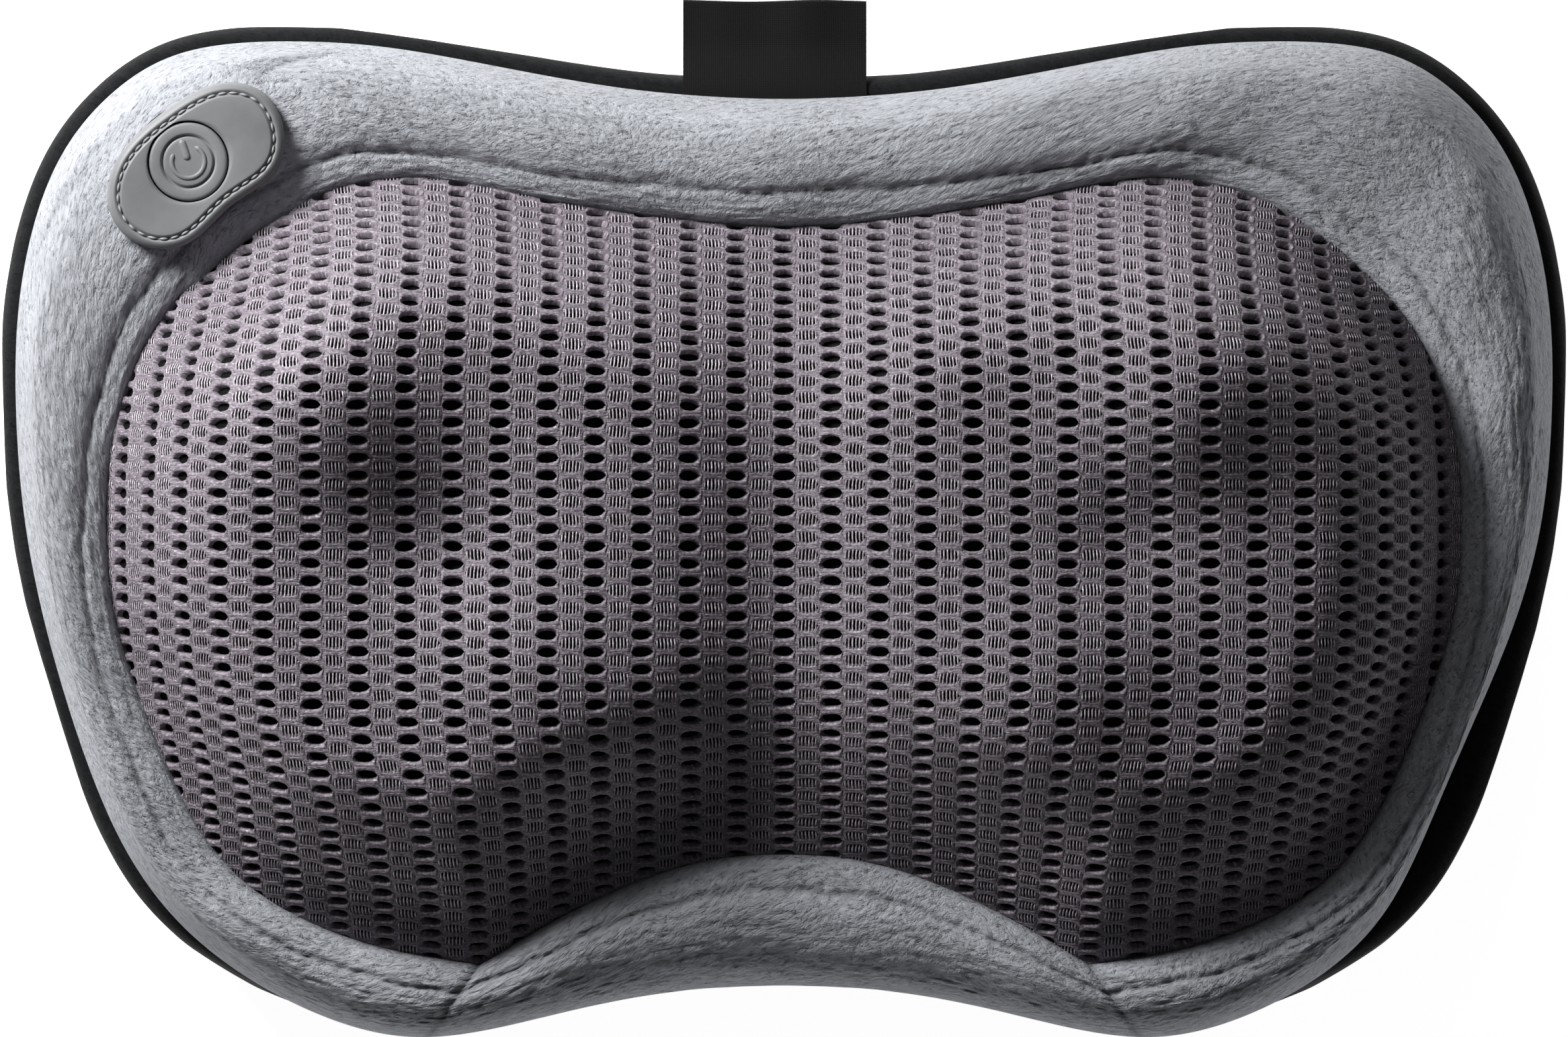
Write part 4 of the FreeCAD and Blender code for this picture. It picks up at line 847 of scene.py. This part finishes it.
def pad_seat(skin):
    """Seats the button pad in the plush: the plush comes up to its sole where it would hang over
    the flank, is no higher than the sole under it, and has a round hollow below the key."""
    loop = pad_loop(240)
    flat = skin.reshape(-1, 3)
    close = np.linalg.norm(flat[:, :2] - loop.mean(0), axis=1) < SEAT_REACH
    part = flat[close]
    away = np.where(inside(part[:, :2], loop), 0, nearest(part[:, :2], loop))
    under = PAD_LOW[2] - 0.7 - 0.6 * away
    part[:, 2] += np.clip(under - part[:, 2], 0, 4.5) * smooth(64, 72, part[:, 2])
    from_key = np.linalg.norm(part[:, :2] - BUTTON_AT, axis=1)
    sole = PAD_LOW[2] + 0.25 + 3.5 * smooth(0.3, 9, away) - KEY_HOLLOW * smooth(12.5, 9.5, from_key)
    part[:, 2] = np.minimum(part[:, 2], sole)
    flat[close] = part
    return flat.reshape(skin.shape)


def plush_skin():
    """The plush as it lies after the cloth has puffed up, on a fine grid."""
    at = np.arange(TURNS * FINE_AROUND) / FINE_AROUND
    last = len(PLUSH_SECTION) - 1
    across = np.linspace(0, last, PLUSH_RINGS)
    skin = plush_grid(at, across)
    shift = cloth_shift(plush_grid, last, (0, 1, -2, -1), 4.0, PUFF)
    shift *= smooth(2, 11, np.arange(COARSE_RINGS))[None, :, None]
    skin = skin + refined(shift, at, across, last)
    turn = at * 2 * math.pi / TURNS
    tufts = np.random.default_rng(11).normal(size=skin.shape[:2])
    for _ in range(3):
        tufts = (2 * tufts + np.roll(tufts, 1, 0) + np.roll(tufts, -1, 0)) / 4
    skin[..., 2] += 0.3 * tufts * smooth(60, 74, skin[..., 2])
    slow = 0.6 * np.sin(turn * 9)[:, None] * np.sin(across * 0.5) + 0.4 * np.sin(turn * 23 + 2)[:, None]
    skin[..., 2] += slow * smooth(2, 6, across) * smooth(12, 10, across)
    return (at, *sewn_detail(at, pad_seat(skin)))


def build_plush():
    at, skin, seam = plush_skin()
    start = CORNER * FINE_AROUND
    order = (np.arange(len(at)) + start) % len(at)
    skin, seam = skin[order], seam[order]
    around = steps_along(skin, 0)[:, skin.shape[1] // 2, None] * np.ones(skin.shape[:2])
    over = steps_along(skin, 1)
    uv = np.dstack([around, over]) * MM
    arch_rows = (TURNS - 2 * CORNER) * FINE_AROUND + 1
    arch = np.arange(arch_rows)
    upper = np.r_[np.arange(arch_rows - 1, len(at)), 0]
    uv_upper = uv[upper].copy()
    uv_upper[-1, :, 0] = uv_upper[-2, :, 0] + 0.001
    for name, rows, mapped in (("plush_surround", upper, uv_upper), ("plush_lower_arch", arch, uv[arch])):
        part = skin[rows]
        faces = grid_faces(len(rows), part.shape[1])
        piece = new_piece(name + "_cover", part.reshape(-1, 3), faces[:, ::-1], mapped.reshape(-1, 2))
        # painted shade for the plush's material: darker in the sewn grooves and at the rim by the mesh
        with_attribute(piece, "seam", seam[rows])
        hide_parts(name)
        paint(piece, GREY_PLUSH)


# ---- velour back ----------------------------------------------------------------------------
# Section of the velour shell from the grey seam over the black welt and down to the flat back:
# inset from the outer edge and height in millimetres.
REAR_SECTION = np.array([
    (6.5, SEAM_Z - 2.5), (4.6, SEAM_Z + 0.4), (3.4, SEAM_Z + 1.3), (1.7, SEAM_Z + 0.9),
    (0.55, SEAM_Z - 1.0), (0.1, SEAM_Z - 4.0), (0.0, 37), (0.0, 31), (0.5, 24), (1.6, 17), (3.9, 9.6),
    (6.6, 5.0), (10.0, 1.9), (14.0, 0.4), (18.0, 0.0),
])
SLOT_LOW, SLOT_HIGH = place("zip_teeth")
SLOT_MIDDLE = (SLOT_LOW + SLOT_HIGH)[:2] / 2
SLOT_HALF = np.array([106.0, 4.0])
SLOT_DEPTH = 2.2
REAR_RINGS = 60
REAR_PUFF = 1.2                 # most that the velour swells


def rear_grid(at, across):
    section = spline(REAR_SECTION, across)
    outer = outer_edge(at)
    lap = np.clip(1 - across / 4, 0, 1)[None] * (welt(at) / WELT - 1 + along_bottom(at))[:, None]
    inset = section[:, 0][None] + 3.0 * along_bottom(at)[:, None] * smooth(9, 5, across)[None] + 3.6 * lap
    share = np.zeros(len(across))
    return rings(outer, outer, share, section[:, 1], edge_normals(at), inset)


def slot_edge(outer):
    """The zip slot's rim on the ray from its middle to each point of an outer loop."""
    ray = outer - SLOT_MIDDLE
    reach = np.min(SLOT_HALF / np.maximum(np.abs(ray), 1e-6), axis=1)
    return SLOT_MIDDLE + ray * reach[:, None]


MOUTH_R = 9.0                   # of the shell's opening round the power inlet
MOUTH_FROM, MOUTH_TO = 4.5, 17.0    # the shell is drawn out between these distances
MOUTH_DEPTH = 21.0


def inlet_mouth(skin):
    """Opens the lower wall round the power inlet. At a distance r from the inlet's axis, the wall
    is drawn out evenly so that 4.5 becomes 9 and 17 stays, and what lies within is pushed in
    behind the housing."""
    axis = ((INLET_LOW + INLET_HIGH) / 2)[[0, 2]]
    ray = skin[..., [0, 2]] - axis
    away = np.linalg.norm(ray, axis=2)
    close = (away < MOUTH_TO) & (skin[..., 1] < INLET_HIGH[1])
    outside = MOUTH_R + (away - MOUTH_FROM) * (MOUTH_TO - MOUTH_R) / (MOUTH_TO - MOUTH_FROM)
    drawn = np.where(away < MOUTH_FROM, away * MOUTH_R / MOUTH_FROM, outside)
    scale = np.where(close, drawn / np.maximum(away, 1e-6), 1)[..., None]
    opened = skin.copy()
    opened[..., [0, 2]] = axis + ray * scale
    opened[..., 1] += MOUTH_DEPTH * close * smooth(MOUTH_FROM, MOUTH_FROM - 0.9, away)
    return opened


def build_rear():
    at = np.arange(TURNS * FINE_AROUND) / FINE_AROUND
    last = len(REAR_SECTION) - 1
    across = np.linspace(0, last, REAR_RINGS)
    skin = rear_grid(at, across)
    shift = cloth_shift(rear_grid, last, (0, 1, 2, 3, 4, 5, -3, -2, -1), 3.0, REAR_PUFF)
    skin = skin + refined(shift, at, across, last)
    skin[..., 2] = np.maximum(skin[..., 2], 0)
    skin = inlet_mouth(skin)
    slot = slot_edge(skin[:, -1, :2])
    shares = np.linspace(0, 1, 16)[1:]
    back = rings(skin[:, -1, :2], slot, shares, np.zeros(len(shares)))
    lips = rings(slot, slot, np.zeros(3), (0.35, 1.0, SLOT_DEPTH))
    points = np.concatenate([skin, back, lips], axis=1)
    faces = grid_faces(len(at), points.shape[1], close_rows=True)
    piece = new_piece("rear_cover_shell", points.reshape(-1, 3), faces)
    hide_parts("rear_cover")
    paint(piece, BLACK_VELOUR)


# ---- button pad -----------------------------------------------------------------------------
PAD_CENTRE = np.array([-126.5, 75.5])
PAD_TILT = math.radians(37)
PAD_BEAN = np.array([
    (21.3, 4), (14.5, 12.2), (1.5, 14.4), (-12.5, 12.4), (-21, 3.8), (-19.2, -6.6), (-10.5, -11.6),
    (0.5, -10.6), (11, -10.8), (18.8, -6),
])


def pad_loop(count):
    """The pad's bean outline, counter-clockwise, turned to its tilt."""
    bean = spline(PAD_BEAN, np.arange(count) * len(PAD_BEAN) / count, closed=True)
    cos, sin = math.cos(PAD_TILT), math.sin(PAD_TILT)
    return PAD_CENTRE + bean @ np.array([[cos, sin], [-sin, cos]])


KEY_Z = BUTTON_HIGH[2]
STITCH_INSET = 2.3
STITCH_PITCH = 2.4
KEY_SIDES = 96


def build_pad():
    """Rubber pad: bevelled rim, a sunk row for the stitches, and a well for the key."""
    count = 360
    loop = pad_loop(count)
    normal = -inward(loop)
    sole, top = PAD_LOW[2] - 1.2, PAD_HIGH[2]
    # inset and height of each ring of the rim
    rim = np.array([
        (1.0, sole), (0.1, sole + 0.2), (0.0, sole + 0.8), (0.05, top - 1.7), (0.35, top - 1.05),
        (0.9, top - 0.55), (1.35, top - 0.35),
        (STITCH_INSET - 0.55, top - 0.3), (STITCH_INSET - 0.3, top - 0.8),
        (STITCH_INSET + 0.3, top - 0.8), (STITCH_INSET + 0.55, top - 0.05), (STITCH_INSET + 0.9, top),
    ])
    insets = np.broadcast_to(rim[:, 0], (count, len(rim)))
    outer = rings(loop, loop, np.zeros(len(rim)), rim[:, 1], normal, insets)
    inner_edge = outer[:, -1, :2]
    ray = inner_edge - BUTTON_AT
    well = BUTTON_AT + ray / np.linalg.norm(ray, axis=1)[:, None] * (BUTTON_R + 0.32)
    shares = np.linspace(0, 1, 9)[1:]
    face = rings(inner_edge, well, shares, np.full(len(shares), top) - 0.12 * shares**6)
    wall = rings(well, well, np.zeros(2), (top - 0.5, top - 2.5))
    points = np.concatenate([outer, face, wall], axis=1)
    faces = grid_faces(count, points.shape[1], close_rows=True)
    piece = new_piece("control_pad_moulding", points.reshape(-1, 3), faces[:, ::-1])
    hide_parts("control_pad")
    paint(piece, PAD_RUBBER)
    build_pad_stitches(loop, normal, top)


def build_pad_stitches(loop, normal, top):
    """Short stitches lying in the pad's sunk row, each a tube that arches up in its middle."""
    row = loop + normal * STITCH_INSET
    closed_row = np.vstack([row, row[:1]])
    run = steps_along(closed_row, 0)
    number = int(run[-1] / STITCH_PITCH)
    parts = []
    for index in range(number):
        reach = (index + np.linspace(0.12, 0.84, 5)) * run[-1] / number
        path = np.column_stack([np.interp(reach, run, closed_row[:, k]) for k in (0, 1)])
        arch = top - 0.62 + 0.3 * np.sin(np.linspace(0, math.pi, 5))
        parts.append(tube(np.column_stack([path, arch]), (0.14, 0.26, 0.28, 0.26, 0.14), 6))
    points, faces = joined(parts)
    piece = new_piece("pad_stitch_row", points, faces)
    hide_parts("pad_stitches")
    paint(piece, STITCH_THREAD)


def build_key():
    """Round rubber key: a raised ring round a sunk disc, with a bar and a broken ring on it."""
    top = KEY_Z
    # radius and height of each circle, from the skirt over the ring to the middle
    turned = np.array([
        (BUTTON_R - 0.5, top - 3.0), (BUTTON_R, top - 2.6), (BUTTON_R, top - 0.45),
        (BUTTON_R - 0.25, top - 0.12), (BUTTON_R - 0.7, top), (6.3, top + 0.02), (5.95, top - 0.06),
        (5.75, top - 0.75), (5.45, top - 0.75), (5.3, top - 0.1), (5.05, top - 0.02), (4.5, top - 0.02),
        (2.5, top - 0.04), (0.6, top - 0.05),
    ])
    turn = np.arange(KEY_SIDES) * 2 * math.pi / KEY_SIDES
    circle = np.column_stack([np.cos(turn), np.sin(turn)])
    flat = BUTTON_AT + circle[:, None] * turned[None, :, :1]
    grid = np.dstack([flat, np.broadcast_to(turned[:, 1], flat.shape[:2])])
    shell = fan_closed(grid, [*BUTTON_AT, top - 0.05], turned=True)
    key = new_piece("power_key", *shell, body="power_button")
    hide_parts("power_button")
    paint(key, PAD_RUBBER)
    tilt = math.radians(108)
    gap = np.radians(np.linspace(40, 320, 64)) + tilt
    arc = np.column_stack([BUTTON_AT[0] + 3.55 * np.cos(gap), BUTTON_AT[1] + 3.55 * np.sin(gap),
                           np.full(64, top - 0.1)])
    size = np.interp(np.arange(64), [0, 3, 60, 63], [0.05, 0.55, 0.55, 0.05])
    bar_run = np.linspace(0.4, 4.9, 16)
    bar = np.column_stack([BUTTON_AT[0] + bar_run * math.cos(tilt), BUTTON_AT[1] + bar_run * math.sin(tilt),
                           np.full(16, top - 0.05)])
    bar_size = 0.85 * np.sqrt(np.clip(1 - (np.abs(bar_run - 2.65) / 2.3) ** 8, 0.001, 1))
    points, faces = joined([tube(arc, size, 10, 0.8), tube(bar, bar_size, 12, 0.55)])
    mark = new_piece("power_mark", points, faces, body="power_button")
    paint(mark, PAD_RUBBER)


# ---- label tab ------------------------------------------------------------------------------
def build_label():
    """Blank woven tab: a ribbon that leaves the seam, turns back on itself and is sewn in again.

    Its line runs out along the top, round a fold of small radius, and back underneath.
    """
    reach = TAB_HIGH[1]
    root = TAB_LOW[1] + 1.0
    out = np.linspace(root, reach - 0.7, 28)
    top_z = SEAM_Z + 1.75 - 2.0 * smooth(92, 104, out)
    fold = np.radians(np.linspace(80, -80, 9))
    fold_y = reach - 0.7 + 0.7 * np.cos(fold)
    fold_z = top_z[-1] - 0.7 + 0.7 * np.sin(fold)
    line = np.vstack([np.column_stack([out, top_z]), np.column_stack([fold_y, fold_z]),
                      np.column_stack([out[::-1], top_z[::-1] - 1.4])])
    wide = np.linspace(TAB_LOW[0], TAB_HIGH[0], 48)
    x, y = np.meshgrid(wide, line[:, 0], indexing="xy")
    z = np.broadcast_to(line[:, 1:2], x.shape).copy()
    out_share = smooth(root + 2, reach, y)
    z += out_share * (0.35 * np.sin(x * 0.16 + 0.6) + 0.2 * np.sin(x * 0.37))
    y = y + 0.18 * out_share * np.sin(x * 0.21)
    points = np.dstack([x, y, z])
    uv = np.dstack([x, steps_along(points, 0)]) * MM
    faces = grid_faces(*x.shape)
    piece = new_piece("label_tab_ribbon", points.reshape(-1, 3), faces[:, ::-1], uv.reshape(-1, 2))
    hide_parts("label_tab")
    paint(piece, LABEL_SATIN)


# ---- finishes of the frame's own pieces -------------------------------------------------------
SLOT_FINISH = {
    "foam": ("Foam", (0.62, 0.55, 0.36), 0.9, 0.0011, 0.0003, 0.0),
    "zip_tape": ("ZipTape", (0.008, 0.008, 0.009), 0.85, 0.0005, 0.0001, 0.0),
    "zip_nylon": ("ZipNylon", (0.012, 0.012, 0.013), 0.42, 0.0004, 0.00002, 0.0),
    "zip_metal": ("ZipMetal", (0.03, 0.03, 0.032), 0.36, 0.0005, 0.00002, 0.6),
    "chassis_plastic": ("ChassisPlastic", (0.02, 0.021, 0.022), 0.55, 0.0006, 0.00004, 0.0),
    "gear_plastic": ("GearPlastic", (0.76, 0.74, 0.66), 0.38, 0.0008, 0.00001, 0.0),
    "arm_plastic": ("ArmPlastic", (0.05, 0.052, 0.055), 0.48, 0.0006, 0.00003, 0.0),
    "node_plastic": ("NodePlastic", (0.1, 0.1, 0.105), 0.45, 0.0006, 0.00002, 0.0),
    "node_rubber": ("NodeRubber", (0.035, 0.034, 0.036), 0.62, 0.0005, 0.00003, 0.0),
    "steel": ("Steel", (0.52, 0.53, 0.55), 0.3, 0.0003, 0.00001, 1.0),
    "motor_steel": ("MotorSteel", (0.42, 0.43, 0.44), 0.4, 0.0004, 0.00001, 1.0),
    "bronze": ("Bronze", (0.55, 0.34, 0.16), 0.42, 0.0004, 0.00002, 1.0),
    "contact_brass": ("ContactBrass", (0.72, 0.5, 0.22), 0.28, 0.0003, 0.00001, 1.0),
    "circuit_board": ("CircuitBoard", (0.02, 0.12, 0.05), 0.4, 0.0005, 0.00002, 0.0),
    "black_plastic": ("BlackPlastic", (0.016, 0.016, 0.017), 0.42, 0.0005, 0.00003, 0.0),
    "grommet_rubber": ("GrommetRubber", (0.012, 0.012, 0.012), 0.7, 0.0005, 0.00004, 0.0),
    "wire_insulation": ("WireInsulation", (0.45, 0.03, 0.025), 0.45, 0.0006, 0.00001, 0.0),
    "lead_sheath": ("LeadSheath", (0.02, 0.02, 0.021), 0.5, 0.0006, 0.00002, 0.0),
    "lamp_lens": ("LampLens", (0.6, 0.05, 0.03), 0.2, 0.0006, 0.00001, 0.0),
    "light_clear": ("LightClear", (0.02, 0.02, 0.022), 0.2, 0.0006, 0.00001, 0.0),
    "thread": ("Thread", (0.2, 0.2, 0.21), 0.7, 0.0003, 0.00005, 0.0),
}


def finish_frame_pieces():
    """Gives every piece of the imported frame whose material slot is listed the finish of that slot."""
    made = {}
    for part in frame["record"]["subparts"]:
        slot = part["material_slot"]
        if slot not in SLOT_FINISH:
            continue
        if slot not in made:
            name, colour, roughness, grain, depth, metallic = SLOT_FINISH[slot]
            made[slot] = moulded_material(name, colour, roughness, grain, depth, metallic)
        node = frame["nodes"][part["node"]]
        node.data.materials.clear()
        node.data.materials.append(made[slot])


# ---- studio ---------------------------------------------------------------------------------
def softbox(name, at, to, size, watts):
    """A rectangular lamp at one point, turned to face another."""
    light = bpy.data.lights.new(name, "AREA")
    light.shape = "RECTANGLE"
    light.size, light.size_y = size
    light.energy = watts
    lamp = bpy.data.objects.new(name, light)
    lamp.location = at
    lamp.rotation_euler = (Vector(to) - Vector(at)).to_track_quat("-Z", "Y").to_euler()
    bpy.context.scene.collection.objects.link(lamp)


def build_studio():
    """Camera straight above, a near lamp at the upper left, weak fill, and a pale floor."""
    scene = bpy.context.scene
    reach = 8.0
    camera = bpy.data.cameras.new("camera")
    camera.sensor_width = 36
    camera.lens = camera.sensor_width * reach / (2 * REAR_HIGH[0] * MM)
    camera.clip_end = 30
    seen = bpy.data.objects.new("camera", camera)
    seen.location = (0.0, 0.0, reach + SEAM_Z * MM)
    scene.collection.objects.link(seen)
    scene.camera = seen
    softbox("key", (-0.46, 0.41, 0.40), (-0.04, 0.0, 0.08), (0.22, 0.24), 8.4)
    softbox("top", (-0.1, 0.9, 0.8), (0, 0, 0.05), (0.9, 0.3), 1.5)
    softbox("fill", (0.8, -0.2, 0.9), (0, 0, 0.05), (0.6, 0.6), 0.3)
    world = bpy.data.worlds.new("studio")
    world.use_nodes = True
    world.node_tree.nodes["Background"].inputs["Color"].default_value = (0.95, 0.97, 1, 1)
    world.node_tree.nodes["Background"].inputs["Strength"].default_value = 0.035
    scene.world = world
    scene.view_settings.view_transform = "Standard"
    scene.view_settings.look = "None"
    half = 3.0
    corners = [(x, y, -0.0005) for x, y in ((-half, -half), (half, -half), (half, half), (-half, half))]
    sheet = bpy.data.meshes.new("floor")
    sheet.from_pydata(corners, [], [(0, 1, 2, 3)])
    ground = bpy.data.objects.new("floor", sheet)
    scene.collection.objects.link(ground)
    material, tree, shader = new_material("Floor", roughness=0.8, base_color=(0.86, 0.86, 0.86, 1))
    shader.inputs["Emission Color"].default_value = (1, 1, 1, 1)
    shader.inputs["Emission Strength"].default_value = 0.95
    ground.data.materials.append(material)


build_studio()
finish_frame_pieces()
build_rear()
build_plush()
build_liner()
build_mesh_face()
build_pad()
build_key()
build_label()
